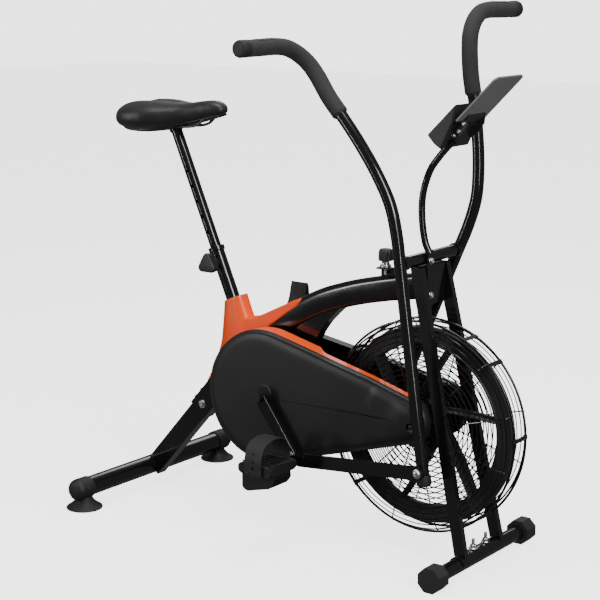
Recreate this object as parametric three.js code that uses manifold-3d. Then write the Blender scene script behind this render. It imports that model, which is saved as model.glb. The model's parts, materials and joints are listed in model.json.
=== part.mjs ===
// Air bike: an upright exercise bike whose fan wheel is the resistance. A chain drives the fan from the
// cranks, and two long levers are rocked by links from the pedal pins.
// Millimetres. +X is forward (saddle to fan), +Y is the rider's left, +Z is up, the floor is z = 0.
import * as THREE from 'three';
import { mergeVertices } from 'three/addons/utils/BufferGeometryUtils.js';
import Module from 'manifold-3d';

const wasm = await Module();
wasm.setup();

// ---------------------------------------------------------------- driving dimensions
const FIT = 0.3;                        // gap left between touching pieces
const SHIFT_X = 324.5;                   // fan axle's distance in front of the footprint's centre

const FAN = { x: 0, z: 308, guard: 250, guardTube: 3, hub: 60, rimIn: 190, rimOut: 232, halfWidth: 24 };
const GUARD_FACE = 49;                  // half-width over the wire faces
const VANES = 6;
const VANE_FOOT = [54, 43];             // vane root, seen from the axle
const VANE_TIP = [191, 40.5];           // vane tip, under the rim

const CRANK = { x: -406, z: 336, length: 165.6, angle: 37.6, y: 110, thick: 14, width: 24 };
const CHAIN_PITCH = 12.7;
const CHAINWHEEL_TEETH = 40;
const FAN_TEETH = 10;
const CHAIN_Y = 66;

const MAIN_TUBE = { tall: 60, wide: 38, corner: 14, wall: 2.5 };
const MAIN_LINE = [[-500, 397], [-441, 457], [-376, 515], [-300, 559], [-218, 589], [-118, 614], [-14, 633]];
const GUSSET_LINE = [[-228, 560], [-252, 538], [-276, 514], [-294, 490], [-310, 462], [-326, 425],
  [-350, 388], [-386, 350], [-406, 336], [-430, 352], [-462, 420], [-441, 470], [-376, 517], [-300, 561]];
const HEAD_FRONT = 17;                  // front face of the head, where the display's post is bolted
const PIVOT = { x: 3, z: 702, r: 14, spindle: 8 };
const LEVER = { y: 122, r: 14, wall: 1.6, arm: 467, tail: 492, bend: 80, halfSpan: 340 };
const LEVER_LINE = [[0, 60], [-8, 130], [-33, 198], [-65, 261], [-101, 321], [-140, 380], [-167, 432]];
const GRIP = { inner: 14.8, outer: 19.5, firstStep: 7 };
// Fractions of the lever's length where its tube is stepped: sparse when straight, close in the bends.
const LEVER_STEPS = [0, 0.4, 0.46, 0.5, 0.55, 0.6, 0.66, 0.7, 0.735, 0.755, 0.775, 0.795, 0.815, 0.835, 0.855,
  0.875, 1];
const PEDAL_WIDTH = 100;
const STRAP_WIDTH = 50;
// The strap's arch from the pedal's inner edge to its outer edge, in half-widths and heights: the right one
// is a full dome, and the left one stands up at its inner edge and falls away.
const STRAP_HEIGHT = 66;
const STRAP_ARCH = {
  right: [[-1, -0.24], [-1, 0], [-0.97, 0.42], [-0.72, 0.84], [0, 1], [0.72, 0.84], [0.97, 0.42], [1, 0],
    [1, -0.24]],
  left: [[-1, -0.24], [-1, 0.2], [-0.64, 0.6], [-0.46, 1.1], [-0.37, 1.3], [-0.27, 1.16], [-0.18, 0.75],
    [0.15, 0.42], [0.7, 0.38], [1, 0.18], [1, -0.24]],
};
const LINK = { length: 378, y: 143, thick: 6, height: 32 };

const REAR_BAR = { x: -853, z: 52, r: 24.5, half: 268 };
const FRONT_BAR = { x: 149, z: 28, r: 17, half: 178 };
const FOOT = { y: 260, r: 46, rise: 25 };
const LEG_ANGLE = 48.4;                 // rear leg's slope above the floor
const LEG = { tall: 50, wide: 30, wall: 2.5, end: 330 };
const STAY = { tall: 57, wide: 37, wall: 3, from: 236, to: 440, bolt: 262 };
const FORK = { wide: 28, deep: 15, topY: 52, footY: 78, topX: 5, topZ: 684, footZ: 46 };

const COVER = { rim: 75, face: 92, wall: 3 };
const COVER_CIRCLES = [[CRANK.x - 11, 325, 163], [-131, 335, 88], [FAN.x, 334, 54]];
const BACKING = { near: 74.7, rear: 36, front: 56, stepX: -262 };
const LEFT_COVER_INSET = 22;
const LEFT_COVER_CIRCLES = [COVER_CIRCLES[0], [FAN.x, 334, 88]];

const SEAT_LINE = { top: [-628, 657], low: [-508, 385] };
const PIN_PLACE = 0.872;                // locking pin's place along the seat tube
const SEAT_TUBE = { outer: 17.5, inner: 14.4 };
const POST = { r: 14, length: 469, buried: 150, pitch: 40, holes: 8 };

const CONSOLE_POST = { y: -28, plateHalf: 11, thick: 5.5 };
const TENSION = { x: -104, y: -20, low: 652, knob: 684, top: 711 };

const COLOURS = {
  frame: { color: 0x0b0b0c, roughness: 0.28, metalness: 0.4 },
  plastic: { color: 0x1b1b1c, roughness: 0.6, metalness: 0 },
  orange: { color: 0xfa6914, roughness: 0.3, metalness: 0 },
  rubber: { color: 0x161616, roughness: 0.8, metalness: 0 },
  foam: { color: 0x222223, roughness: 0.95, metalness: 0 },
  vinyl: { color: 0x1d1d1e, roughness: 0.55, metalness: 0 },
  zinc: { color: 0xc4c6c8, roughness: 0.3, metalness: 1 },
  steel: { color: 0x55585c, roughness: 0.4, metalness: 1 },
  grey: { color: 0x555555, roughness: 0.6, metalness: 0 },
};

// ---------------------------------------------------------------- geometry helpers
const rad = THREE.MathUtils.degToRad;

// A closed mesh with shared vertices, positions only, and no collapsed triangles.
function weld(geometry) {
  const bare = geometry.clone();
  bare.deleteAttribute('normal');
  bare.deleteAttribute('uv');
  const merged = mergeVertices(bare, 1e-3);
  const all = Array.from(merged.index.array);
  const kept = [];
  for (let i = 0; i < all.length; i += 3) {
    const [a, b, c] = all.slice(i, i + 3);
    if (a !== b && b !== c && c !== a) kept.push(a, b, c);
  }
  merged.setIndex(kept);
  return merged;
}

function toSolid(geometry) {
  const shell = weld(geometry);
  const vertProperties = Float32Array.from(shell.attributes.position.array);
  const triVerts = Uint32Array.from(shell.index.array);
  return new wasm.Manifold(new wasm.Mesh({ numProp: 3, vertProperties, triVerts }));
}

function toGeometry(solid) {
  const { vertProperties, triVerts } = solid.getMesh();
  const geometry = new THREE.BufferGeometry();
  geometry.setAttribute('position', new THREE.BufferAttribute(vertProperties, 3));
  geometry.setIndex(new THREE.BufferAttribute(triVerts, 1));
  geometry.computeVertexNormals();
  return geometry;
}

function join(...geometries) {
  return toGeometry(geometries.map(toSolid).reduce((sum, next) => sum.add(next)));
}

function cut(base, ...tools) {
  return toGeometry(tools.map(toSolid).reduce((rest, tool) => rest.subtract(tool), toSolid(base)));
}

function common(a, b) {
  return toGeometry(toSolid(a).intersect(toSolid(b)));
}

function vec(x, y, z) {
  return new THREE.Vector3(x, y, z);
}

// An axis-aligned block from its lowest to its highest corner.
function block(low, high) {
  const size = high.map((value, i) => value - low[i]);
  const middle = high.map((value, i) => (value + low[i]) / 2);
  return new THREE.BoxGeometry(...size).translate(...middle);
}

// A round bar between two points.
function bar(from, to, radius, sides = 14, endRadius = radius) {
  const axis = to.clone().sub(from);
  const turn = new THREE.Quaternion().setFromUnitVectors(vec(0, 1, 0), axis.clone().normalize());
  const middle = from.clone().add(to).multiplyScalar(0.5);
  return new THREE.CylinderGeometry(endRadius, radius, axis.length(), sides)
    .applyQuaternion(turn)
    .translate(middle.x, middle.y, middle.z);
}

// A round bar along Y.
function crossBar(x, z, y0, y1, radius, sides = 16) {
  return bar(vec(x, y0, z), vec(x, y1, z), radius, sides);
}

function pipe(from, to, outer, inner, sides = 16) {
  const reach = to.clone().sub(from).normalize();
  return cut(bar(from, to, outer, sides), bar(from.clone().sub(reach), to.clone().add(reach), inner, sides));
}

// A side-view outline of [x, z] points, given thickness from y0 to y1.
function slab(points, y0, y1) {
  const shape = new THREE.Shape(points.map(([x, z]) => new THREE.Vector2(x, z)));
  return new THREE.ExtrudeGeometry(shape, { depth: y1 - y0, bevelEnabled: false })
    .rotateX(Math.PI / 2)
    .translate(0, y1, 0);
}

// A body swept through loops with equal point counts, closed by fans around a first and a last point.
function loft(first, loops, last) {
  const count = loops[0].length;
  const points = [first, ...loops.flat(), last];
  const index = [];
  const at = (loop, i) => 1 + loop * count + (i % count);
  for (let i = 0; i < count; i += 1) {
    index.push(0, at(0, i + 1), at(0, i));
    for (let loop = 0; loop + 1 < loops.length; loop += 1) {
      index.push(at(loop, i), at(loop, i + 1), at(loop + 1, i));
      index.push(at(loop, i + 1), at(loop + 1, i + 1), at(loop + 1, i));
    }
    index.push(points.length - 1, at(loops.length - 1, i), at(loops.length - 1, i + 1));
  }
  const geometry = new THREE.BufferGeometry().setFromPoints(points);
  geometry.setIndex(index);
  return toGeometry(outward(geometry));
}

// The solid of a closed mesh, turned inside out if its faces point in.
function outward(geometry) {
  const solid = toSolid(geometry);
  if (solid.volume() > 0) return solid;
  const index = Array.from(geometry.index.array);
  for (let i = 0; i < index.length; i += 3) {
    [index[i], index[i + 1]] = [index[i + 1], index[i]];
  }
  geometry.setIndex(index);
  return toSolid(geometry);
}

// A ring or disc turned about an axis along Y through (x, z), from [radius, y] points.
function turned(x, z, profile, sides = 24) {
  const points = profile.map(([radius, y]) => new THREE.Vector2(radius, y));
  return new THREE.LatheGeometry(points, sides).translate(x, 0, z);
}

// The closed profile of a flat ring.
function ringProfile(inner, outer, y0, y1) {
  return [[inner, y0], [outer, y0], [outer, y1], [inner, y1], [inner, y0]];
}

function hexHead(x, z, y0, y1, radius) {
  return crossBar(x, z, y0, y1, radius, 6);
}

// A curve walked at chosen fractions of its length, so that straight stretches take few steps.
class Stations extends THREE.Curve {
  constructor(whole, fractions) {
    super();
    this.whole = whole;
    this.fractions = fractions;
  }

  fractionAt(u) {
    const place = u * (this.fractions.length - 1);
    const before = Math.min(Math.floor(place), this.fractions.length - 2);
    return THREE.MathUtils.lerp(this.fractions[before], this.fractions[before + 1], place - before);
  }

  getPointAt(u, target = new THREE.Vector3()) {
    return target.copy(this.whole.getPointAt(this.fractionAt(u)));
  }

  getTangentAt(u, target = new THREE.Vector3()) {
    return target.copy(this.whole.getTangentAt(this.fractionAt(u)));
  }
}

function circleShape(radius, sides) {
  const points = [];
  for (let i = 0; i < sides; i += 1) {
    const angle = (2 * Math.PI * i) / sides;
    points.push(new THREE.Vector2(radius * Math.cos(angle), radius * Math.sin(angle)));
  }
  return points;
}

// A tube along a curve: `outer` is a list of section points, `inner` an optional hole.
function sweep(curve, steps, outer, inner) {
  const shape = new THREE.Shape(outer);
  if (inner) shape.holes.push(new THREE.Path(inner));
  return new THREE.ExtrudeGeometry(shape, { steps, extrudePath: curve, bevelEnabled: false });
}

function smoothLine(points, y = 0) {
  return new THREE.CatmullRomCurve3(points.map(([x, z]) => vec(x, y, z)), false, 'centripetal');
}

const bike = new THREE.Group();
bike.position.x = SHIFT_X;

function addPart(name, geometry, look, parent = bike) {
  const mesh = new THREE.Mesh(geometry, new THREE.MeshStandardMaterial(COLOURS[look]));
  mesh.name = name;
  parent.add(mesh);
  return mesh;
}

// Both sides of the bike: the rider's right is -Y, the rider's left is +Y.
const SIDES = [['right', -1], ['left', 1]];

// ---------------------------------------------------------------- stabilisers and feet
function rearStabiliser() {
  const { x, z, r, half } = REAR_BAR;
  addPart('rear_stabilizer', pipe(vec(x, -half, z), vec(x, half, z), r, r - 2), 'frame');
  for (const [side, sign] of SIDES) {
    const inner = half - 22;
    const profile = [[r + FIT, inner], [28, inner], [28, half + 14], [25, half + 22], [16, half + 28],
      [0, half + 30], [0, half + FIT], [r + FIT, half + FIT], [r + FIT, inner]];
    const cap = turned(x, z, profile.map(([radius, y]) => [radius, y * sign]), 24);
    addPart(`rear_end_cap_${side}`, toGeometry(outward(weld(cap))), 'rubber');
    addPart(`rear_foot_${side}`, levellingFoot(sign), 'rubber');
  }
}

// A flared rubber foot, hollowed on top for the round end cap that stands in it.
function levellingFoot(sign) {
  const profile = [[0, 0], [FOOT.r, 0], [FOOT.r, 4], [36, 10], [26, 18], [19, FOOT.rise + 6], [19, 40],
    [0, 40]];
  const foot = new THREE.LatheGeometry(profile.map(([radius, z]) => new THREE.Vector2(radius, z)), 28)
    .rotateX(Math.PI / 2)
    .translate(REAR_BAR.x, FOOT.y * sign, 0);
  const room = crossBar(REAR_BAR.x, REAR_BAR.z, FOOT.y * sign - 40, FOOT.y * sign + 40, 28 + FIT + 0.2);
  return cut(foot, room);
}

function frontStabiliser() {
  const { x, z, r, half } = FRONT_BAR;
  addPart('front_stabilizer', pipe(vec(x, -half, z), vec(x, half, z), r, r - 1.8), 'frame');
  for (const [side, sign] of SIDES) {
    const ends = [half - 4, half + 36].map((y) => y * sign);
    const flat = z / Math.cos(Math.PI / 8);
    const octagon = crossBar(0, 0, ends[0], ends[1], flat, 8).rotateY(Math.PI / 8).translate(x, 0, z);
    const socket = crossBar(x, z, (half - 6) * sign, (half + FIT) * sign, r + FIT);
    addPart(`front_end_cap_${side}`, cut(octagon, socket), 'rubber');
  }
  // The bolts clamp the fork's saddle plate down on the bar.
  SIDES.forEach(([side, sign]) => {
    const y = sign * 27;
    const shank = bar(vec(x, y, z + r + 3.6), vec(x, y, z + r + 24), 4, 12);
    const nut = bar(vec(x, y, z + r + 3.6), vec(x, y, z + r + 12), 8, 6);
    addPart(`front_bolt_${side}`, join(nut, shank), 'zinc');
  });
}

function forkSaddle() {
  const { x, z, r } = FRONT_BAR;
  const length = 98;
  const shell = pipe(vec(x, -length, z), vec(x, length, z), r + FIT + 3, r + FIT);
  const upperHalf = block([x - 40, -length - 1, z + 2], [x + 40, length + 1, z + 60]);
  addPart('fork_saddle', common(shell, upperHalf), 'frame');
}

// ---------------------------------------------------------------- frame
function legFrame(sign) {
  const top = vec(FORK.topX, sign * FORK.topY, FORK.topZ);
  const foot = vec(FRONT_BAR.x, sign * FORK.footY, FORK.footZ);
  return { top, foot };
}

function forkLegs() {
  for (const [side, sign] of SIDES) {
    const { top, foot } = legFrame(sign);
    const axis = foot.clone().sub(top);
    const outer = new THREE.BoxGeometry(FORK.wide, FORK.deep, axis.length() + 40);
    const inner = new THREE.BoxGeometry(FORK.wide - 4, FORK.deep - 4, axis.length() + 60);
    const turn = new THREE.Quaternion().setFromUnitVectors(vec(0, 0, -1), axis.clone().normalize());
    const middle = top.clone().add(foot).multiplyScalar(0.5);
    const place = (shape) => shape.applyQuaternion(turn).translate(middle.x, middle.y, middle.z);
    const tube = cut(place(outer), place(inner));
    const seat = crossBar(FRONT_BAR.x, FRONT_BAR.z, -120, 120, FRONT_BAR.r + 3 + 2 * FIT);
    const below = block([100, -140, -60], [200, 140, FRONT_BAR.z]);
    const above = block([-80, -140, FORK.topZ + 1], [80, 140, FORK.topZ + 80]);
    addPart(`fork_leg_${side}`, cut(tube, seat, below, above), 'frame');
  }
}

// The head: a box section between the fork legs, carrying the main tube and the lever pivot.
function head() {
  const half = FORK.topY - FORK.deep / 2 - 1;
  const outline = [[-22, 686], [HEAD_FRONT, 686], [HEAD_FRONT, 596], [-4, 596]];
  addPart('head_block', slab(outline, -half, half), 'frame');
  const { x, z, r, spindle } = PIVOT;
  const tube = crossBar(x, z, -100, 100, r);
  addPart('pivot_axle', join(tube, crossBar(x, z, -117, 117, spindle)), 'frame');
}

function roundedSection(height, width, corner) {
  const points = [];
  const arcs = [[1, 1, 0], [-1, 1, 90], [-1, -1, 180], [1, -1, 270]];
  for (const [sx, sy, start] of arcs) {
    for (let step = 0; step <= 2; step += 1) {
      const angle = rad(start + step * 45);
      const px = sx * (width / 2 - corner) + corner * Math.cos(angle);
      const py = sy * (height / 2 - corner) + corner * Math.sin(angle);
      points.push(new THREE.Vector2(px, py));
    }
  }
  return points;
}

function mainTubeSolid(grow, steps = 12) {
  const section = roundedSection(MAIN_TUBE.tall + 2 * grow, MAIN_TUBE.wide + 2 * grow, MAIN_TUBE.corner);
  return sweep(smoothLine(MAIN_LINE), steps, section);
}

function seatPoint(fraction, y = 0) {
  const [x0, z0] = SEAT_LINE.low;
  const [x1, z1] = SEAT_LINE.top;
  return vec(x0 + (x1 - x0) * fraction, y, z0 + (z1 - z0) * fraction);
}

const SEAT_AXIS = seatPoint(1).sub(seatPoint(0)).normalize();
const PIN_AXIS = vec(0, -1, 0);
const LEG_DIRECTION = vec(Math.cos(rad(LEG_ANGLE)), 0, Math.sin(rad(LEG_ANGLE)));
const LEG_START = vec(-838, 0, 54);

// A box section along the rear leg's axis, between two distances from the rear stabiliser.
function legBox(from, to, tall, wide) {
  const box = new THREE.BoxGeometry(to - from, wide, tall).rotateY(-rad(LEG_ANGLE));
  const middle = LEG_START.clone().addScaledVector(LEG_DIRECTION, (from + to) / 2);
  return box.translate(middle.x, middle.y, middle.z);
}

function frame() {
  const saddleCut = crossBar(REAR_BAR.x, REAR_BAR.z, -60, 60, REAR_BAR.r + FIT);
  const leg = cut(legBox(-10, LEG.end, LEG.tall, LEG.wide),
    legBox(40, LEG.end + 1, LEG.tall - 2 * LEG.wall, LEG.wide - 2 * LEG.wall), saddleCut);
  addPart('rear_leg', leg, 'frame');

  const stay = cut(legBox(STAY.from, STAY.to, STAY.tall, STAY.wide),
    legBox(STAY.from - 6, STAY.to - 90, STAY.tall - 2 * STAY.wall, STAY.wide - 2 * STAY.wall));
  const seatTubeBody = bar(seatPoint(-0.2), seatPoint(1), SEAT_TUBE.outer + FIT, 24);
  const mainBody = mainTubeSolid(FIT);
  const bracketBody = crossBar(CRANK.x, CRANK.z, -40, 40, 23 + FIT);
  addPart('rear_stay', cut(stay, mainBody, bracketBody), 'frame');

  const seatTube = pipe(seatPoint(0.05), seatPoint(1), SEAT_TUBE.outer, SEAT_TUBE.inner);
  const collar = pipe(seatPoint(0.965), seatPoint(1.004), SEAT_TUBE.outer + 3, SEAT_TUBE.outer - 0.5);
  const pinHole = bar(seatPoint(PIN_PLACE), seatPoint(PIN_PLACE).addScaledVector(PIN_AXIS, 60), 6.4, 10);
  const stayRoom = legBox(200, STAY.to + 1, STAY.tall + 2 * FIT, 40);
  addPart('seat_tube', cut(join(seatTube, collar), stayRoom, mainBody, pinHole), 'frame');

  const { tall, wide, corner, wall } = MAIN_TUBE;
  const tube = sweep(smoothLine(MAIN_LINE), 12, roundedSection(tall, wide, corner),
    roundedSection(tall - 2 * wall, wide - 2 * wall, corner - wall));
  const headEnd = slab([[-22 - FIT, 700], [60, 700], [60, 596], [-4 - FIT, 596]], -60, 60);
  // An upright tab on the tube carries the tension screw.
  const tab = slab([[-122, 630], [-62, 640], [-70, 668], [-84, 668], [-122, 668]], -12, -9);
  const shelf = block([-122, -34, 664.5], [-84, -9, 668]);
  const screwHole = bar(vec(TENSION.x, TENSION.y, 600), vec(TENSION.x, TENSION.y, 700), 4 + FIT, 12);
  const hollow = mainTubeSolid(-wall);
  const carried = cut(join(tab, shelf), hollow, screwHole);
  addPart('main_tube', cut(join(cut(tube, headEnd, seatTubeBody), carried), headEnd), 'frame');

  const bracketShell = pipe(vec(CRANK.x, -34, CRANK.z), vec(CRANK.x, 34, CRANK.z), 23, 11);
  addPart('bottom_bracket_shell', bracketShell, 'frame');

  // The gusset hangs the bottom bracket under the main tube, with a hollowed front edge.
  const gusset = slab(GUSSET_LINE.slice().reverse(), -15, 15);
  const stayBody = legBox(STAY.from, STAY.to, STAY.tall + 2 * FIT, STAY.wide + 2 * FIT);
  addPart('main_gusset', cut(gusset, mainBody, bracketBody, stayBody), 'frame');
}

function legBolt() {
  const face = STAY.wide / 2 + FIT;
  const at = LEG_START.clone().addScaledVector(LEG_DIRECTION, STAY.bolt);
  const washer = crossBar(at.x, at.z, -face, -face - 2, 11, 20);
  addPart('rear_leg_side_bolt', join(washer, hexHead(at.x, at.z, -face - 1, -face - 8, 7.5)), 'zinc');
}

// ---------------------------------------------------------------- covers
// The chain case's outline: the tangent outline around its circles, sampled by its normal's direction.
function coverLoop(inset, y, circles = COVER_CIRCLES, samples = 36) {
  const loop = [];
  for (let i = 0; i < samples; i += 1) {
    const angle = (2 * Math.PI * i) / samples;
    const nx = Math.cos(angle);
    const nz = Math.sin(angle);
    const reach = ([cx, cz, r]) => cx * nx + cz * nz + r;
    const [cx, cz, r] = circles.reduce((best, next) => (reach(next) > reach(best) ? next : best));
    loop.push(vec(cx + (r - inset) * nx, y, cz + (r - inset) * nz));
  }
  return loop;
}

// A tray with a rounded rim: `steps` are [inset, y] from the open rim out to the flat face.
function tray(steps, wall, sign, circles) {
  const face = steps[steps.length - 1];
  const outer = steps.slice().reverse().map(([inset, y]) => coverLoop(inset, y * sign, circles));
  const open = steps[0][1];
  const inner = steps.map(([inset, y]) => (
    coverLoop(inset + wall, (y === open ? y : y - wall) * sign, circles)));
  const middle = [-230, 330];
  const first = vec(middle[0], face[1] * sign, middle[1]);
  const last = vec(middle[0], (face[1] - wall) * sign, middle[1]);
  return loft(first, [...outer, ...inner], last);
}

function covers() {
  const { rim, face, wall } = COVER;
  const steps = [[0, rim], [1, rim + 7], [5, rim + 12.5], [13, face]];
  const crankHole = (sign, r) => crossBar(CRANK.x, CRANK.z, sign * 30, sign * 130, r, 20);
  const bossProfile = [[0, face - 1.4], [50, face - 1.4], [44, face + 4], [30, face + 7], [0, face + 8]];
  const boss = turned(FAN.x - 4, 334, bossProfile.map(([r, y]) => [r, -y]), 24);
  const collar = turned(CRANK.x, CRANK.z, ringProfile(17.2, 21.4, -face - 2, -face + 1.7), 18);
  const shell = cut(tray(steps, wall, -1, COVER_CIRCLES), crankHole(-1, 19));
  addPart('chain_cover_right', join(shell, toGeometry(outward(weld(boss))), collar), 'plastic');

  const { near, rear, front, stepX } = BACKING;
  const band = slabRing(1, 4, -near, -rear);
  const plate = common(slabLoop(2, -front - 3, -front), block([-640, -80, 100], [100, 0, 560]));
  const shorten = block([stepX, -front + 0.01, 100], [100, 0, 600]);
  const fanHole = crossBar(FAN.x, FAN.z, -90, -30, 15);
  const spindleHole = crossBar(CRANK.x, CRANK.z, -90, -30, 30);
  addPart('cover_backing_right', cut(join(band, plate), shorten, fanHole, spindleHole), 'orange');

  const leftSteps = steps.map(([inset, y]) => [inset + LEFT_COVER_INSET, y]);
  const leftTray = tray([[LEFT_COVER_INSET, front], ...leftSteps], wall, 1, LEFT_COVER_CIRCLES);
  addPart('side_cover_left', cut(leftTray, crankHole(1, 19)), 'plastic');
}

// The cover outline, inset, as a solid plate or as a ring.
function slabLoop(inset, y0, y1) {
  return slab(coverLoop(inset, 0).map(({ x, z }) => [x, z]), y0, y1);
}

function slabRing(insetOuter, insetInner, y0, y1) {
  return cut(slabLoop(insetOuter, y0, y1), slabLoop(insetInner, y0 - 1, y1 + 1));
}

// The orange shroud: a tapered collar around the seat tube, a narrow rear spine that runs down behind the
// case, and a fin that straddles the main tube.
function shroud() {
  const spine = [[-652, 300], [-632, 274], [-560, 330], [-510, 420], [-545, 524], [-591, 528], [-598, 480],
    [-605, 420], [-630, 345]];
  const fin = [[-560, 380], [-470, 392], [-446, 440], [-452, 462], [-364, 541], [-364, 557], [-512, 491],
    [-545, 500]];
  const collar = bar(seatPoint(0.1), seatPoint(0.55), 36, 20, 30);
  const tube = bar(seatPoint(-0.2), seatPoint(1.1), SEAT_TUBE.outer + FIT, 24);
  const room = bar(seatPoint(0.08), seatPoint(0.57), 33, 20, 27);
  const hollow = slab([[-642, 296], [-628, 284], [-560, 340], [-520, 420], [-555, 516], [-587, 518],
    [-594, 480], [-601, 420], [-626, 347]], -13, 13);
  const stay = legBox(150, STAY.to + 40, STAY.tall + 2 * FIT, STAY.wide + 2 * FIT);
  const gusset = slab(GUSSET_LINE.slice().reverse(), -15 - FIT, 15 + FIT);
  const shell = join(slab(spine, -16, 16), slab(fin, -22, 22), collar);
  addPart('seat_shroud', cut(shell, hollow, room, tube, mainTubeSolid(FIT), stay, gusset), 'orange');
}

// ---------------------------------------------------------------- fan
// One dished half of the wire guard: rings joined by bent spokes, with a solid plate at the axle.
function guardHalf(sign) {
  const lip = 24;
  const hoop = ringProfile(FAN.guard - 4, FAN.guard, sign * (lip - 2), sign * (lip + 3));
  const pieces = [turned(FAN.x, FAN.z, hoop, 28)];
  for (const radius of [130, 230]) {
    const y = radius > 220 ? GUARD_FACE - 6 : GUARD_FACE;
    const ring = ringProfile(radius - 2, radius + 2, sign * (y - 4), sign * y);
    pieces.push(turned(FAN.x, FAN.z, ring, radius > 150 ? 20 : 14));
  }
  pieces.push(turned(FAN.x, FAN.z, ringProfile(14, 44, sign * (GUARD_FACE - 4), sign * GUARD_FACE), 12));
  const spoke = slab([[40, -2], [40, 2], [206, 2], [206, -2]], sign > 0 ? GUARD_FACE - 4 : -GUARD_FACE,
    sign > 0 ? GUARD_FACE : 4 - GUARD_FACE);
  const slope = loft(vec(204, sign * (GUARD_FACE - 2), 0), [
    [[204, GUARD_FACE - 4, -2], [204, GUARD_FACE - 4, 2], [204, GUARD_FACE, 2], [204, GUARD_FACE, -2]],
    [[238, GUARD_FACE - 10, -2], [238, GUARD_FACE - 10, 2], [238, GUARD_FACE - 6, 2],
      [238, GUARD_FACE - 6, -2]],
    [[248, lip - 2, -2], [247, lip - 2, 2], [249, lip + 3, 2], [249, lip + 3, -2]],
  ].map((loop) => loop.map(([x, y, z]) => vec(x, y * sign, z))), vec(248, sign * lip, 0));
  for (let i = 0; i < 8; i += 1) {
    const turn = rad(22.5 + 45 * i);
    pieces.push(spoke.clone().rotateY(turn).translate(FAN.x, 0, FAN.z));
    pieces.push(slope.clone().rotateY(turn).translate(FAN.x, 0, FAN.z));
  }
  return toGeometry(pieces.map((piece) => outward(weld(piece))).reduce((sum, next) => sum.add(next)));
}

function fan() {
  for (const [side, sign] of SIDES) addPart(`fan_guard_${side}`, guardHalf(sign), 'frame');
  const { x, z, rimIn, rimOut, hub, halfWidth } = FAN;
  // A fixed axle, held by the two guard plates and the tabs of the fork.
  const axle = crossBar(x, z, -74, 55, 6, 12);
  addPart('fan_axle', axle, 'steel');

  const rim = turned(x, z, ringProfile(rimIn, rimOut, -5, 5), 30);
  const disc = turned(x, z, ringProfile(7, hub, -14, 14), 18);
  const sleeve = turned(x, z, ringProfile(7, 13, -54, -12), 14);
  const vanes = [];
  for (let i = 0; i < VANES; i += 1) {
    const plate = slab([[VANE_FOOT[0] - 22, VANE_FOOT[1] - 1.5], [VANE_TIP[0] + 2, VANE_TIP[1] - 1.5],
      [VANE_TIP[0] + 2, VANE_TIP[1] + 1.5], [VANE_FOOT[0] - 22, VANE_FOOT[1] + 1.5]], -halfWidth, halfWidth);
    vanes.push(plate.rotateY(rad(60 * i)).translate(x, 0, z));
  }
  addPart('fan_wheel', join(rim, disc, sleeve, ...vanes), 'plastic');
}

// ---------------------------------------------------------------- drive
function pitchRadius(teeth) {
  return CHAIN_PITCH / (2 * Math.sin(Math.PI / teeth));
}

function toothedDisc(x, z, teeth, y0, y1, bore) {
  const root = pitchRadius(teeth) - 4.6;
  return turned(x, z, ringProfile(bore, root, y0, y1), Math.min(2 * teeth, 32));
}

function beltLoop(grow) {
  const circles = [[CRANK.x, CRANK.z, pitchRadius(CHAINWHEEL_TEETH)], [FAN.x, FAN.z, pitchRadius(FAN_TEETH)]];
  const points = [];
  for (let i = 0; i < 40; i += 1) {
    const angle = (2 * Math.PI * i) / 40;
    const [nx, nz] = [Math.cos(angle), Math.sin(angle)];
    const reach = ([cx, cz, r]) => cx * nx + cz * nz + r;
    const [cx, cz, r] = reach(circles[0]) > reach(circles[1]) ? circles[0] : circles[1];
    points.push([cx + (r + grow) * nx, cz + (r + grow) * nz]);
  }
  return points;
}

function drive() {
  const y = CHAIN_Y;
  const chain = cut(slab(beltLoop(4), -y - 3, -y + 3), slab(beltLoop(-4), -y - 4, -y + 4));
  addPart('drive_chain', chain, 'steel');
  const sprocket = toothedDisc(FAN.x, FAN.z, FAN_TEETH, -y - 2, -y + 2, 7);
  const neck = turned(FAN.x, FAN.z, ringProfile(7, 13, -y + 1, -54 - FIT), 20);
  addPart('fan_sprocket', join(sprocket, neck), 'steel');
  const wheel = toothedDisc(CRANK.x, CRANK.z, CHAINWHEEL_TEETH, -y - 2, -y + 2, 8.5 + FIT);
  const windows = [];
  for (let i = 0; i < 5; i += 1) {
    const angle = rad(72 * i + 36);
    const [wx, wz] = [CRANK.x + 50 * Math.cos(angle), CRANK.z + 50 * Math.sin(angle)];
    windows.push(crossBar(wx, wz, -y - 9, -y + 9, 15, 10));
  }
  addPart('chainwheel', cut(wheel, ...windows), 'steel');
  addPart('crank_spindle', crossBar(CRANK.x, CRANK.z, -118, 118, 8.5), 'steel');
}

// The linkage at rest: the crank's pin, then the lever's angle that lets the link reach it.
function pinAt(sign) {
  const angle = rad(CRANK.angle) + (sign > 0 ? Math.PI : 0);
  return [CRANK.x + CRANK.length * Math.sin(angle), CRANK.z - CRANK.length * Math.cos(angle)];
}

function leverAngle(sign) {
  const [px, pz] = pinAt(sign);
  const dx = px - PIVOT.x;
  const dz = pz - PIVOT.z;
  const span = Math.hypot(dx, dz);
  const opening = Math.acos((LEVER.arm ** 2 + span ** 2 - LINK.length ** 2) / (2 * LEVER.arm * span));
  return Math.atan2(dx, -dz) + opening;
}

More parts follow.
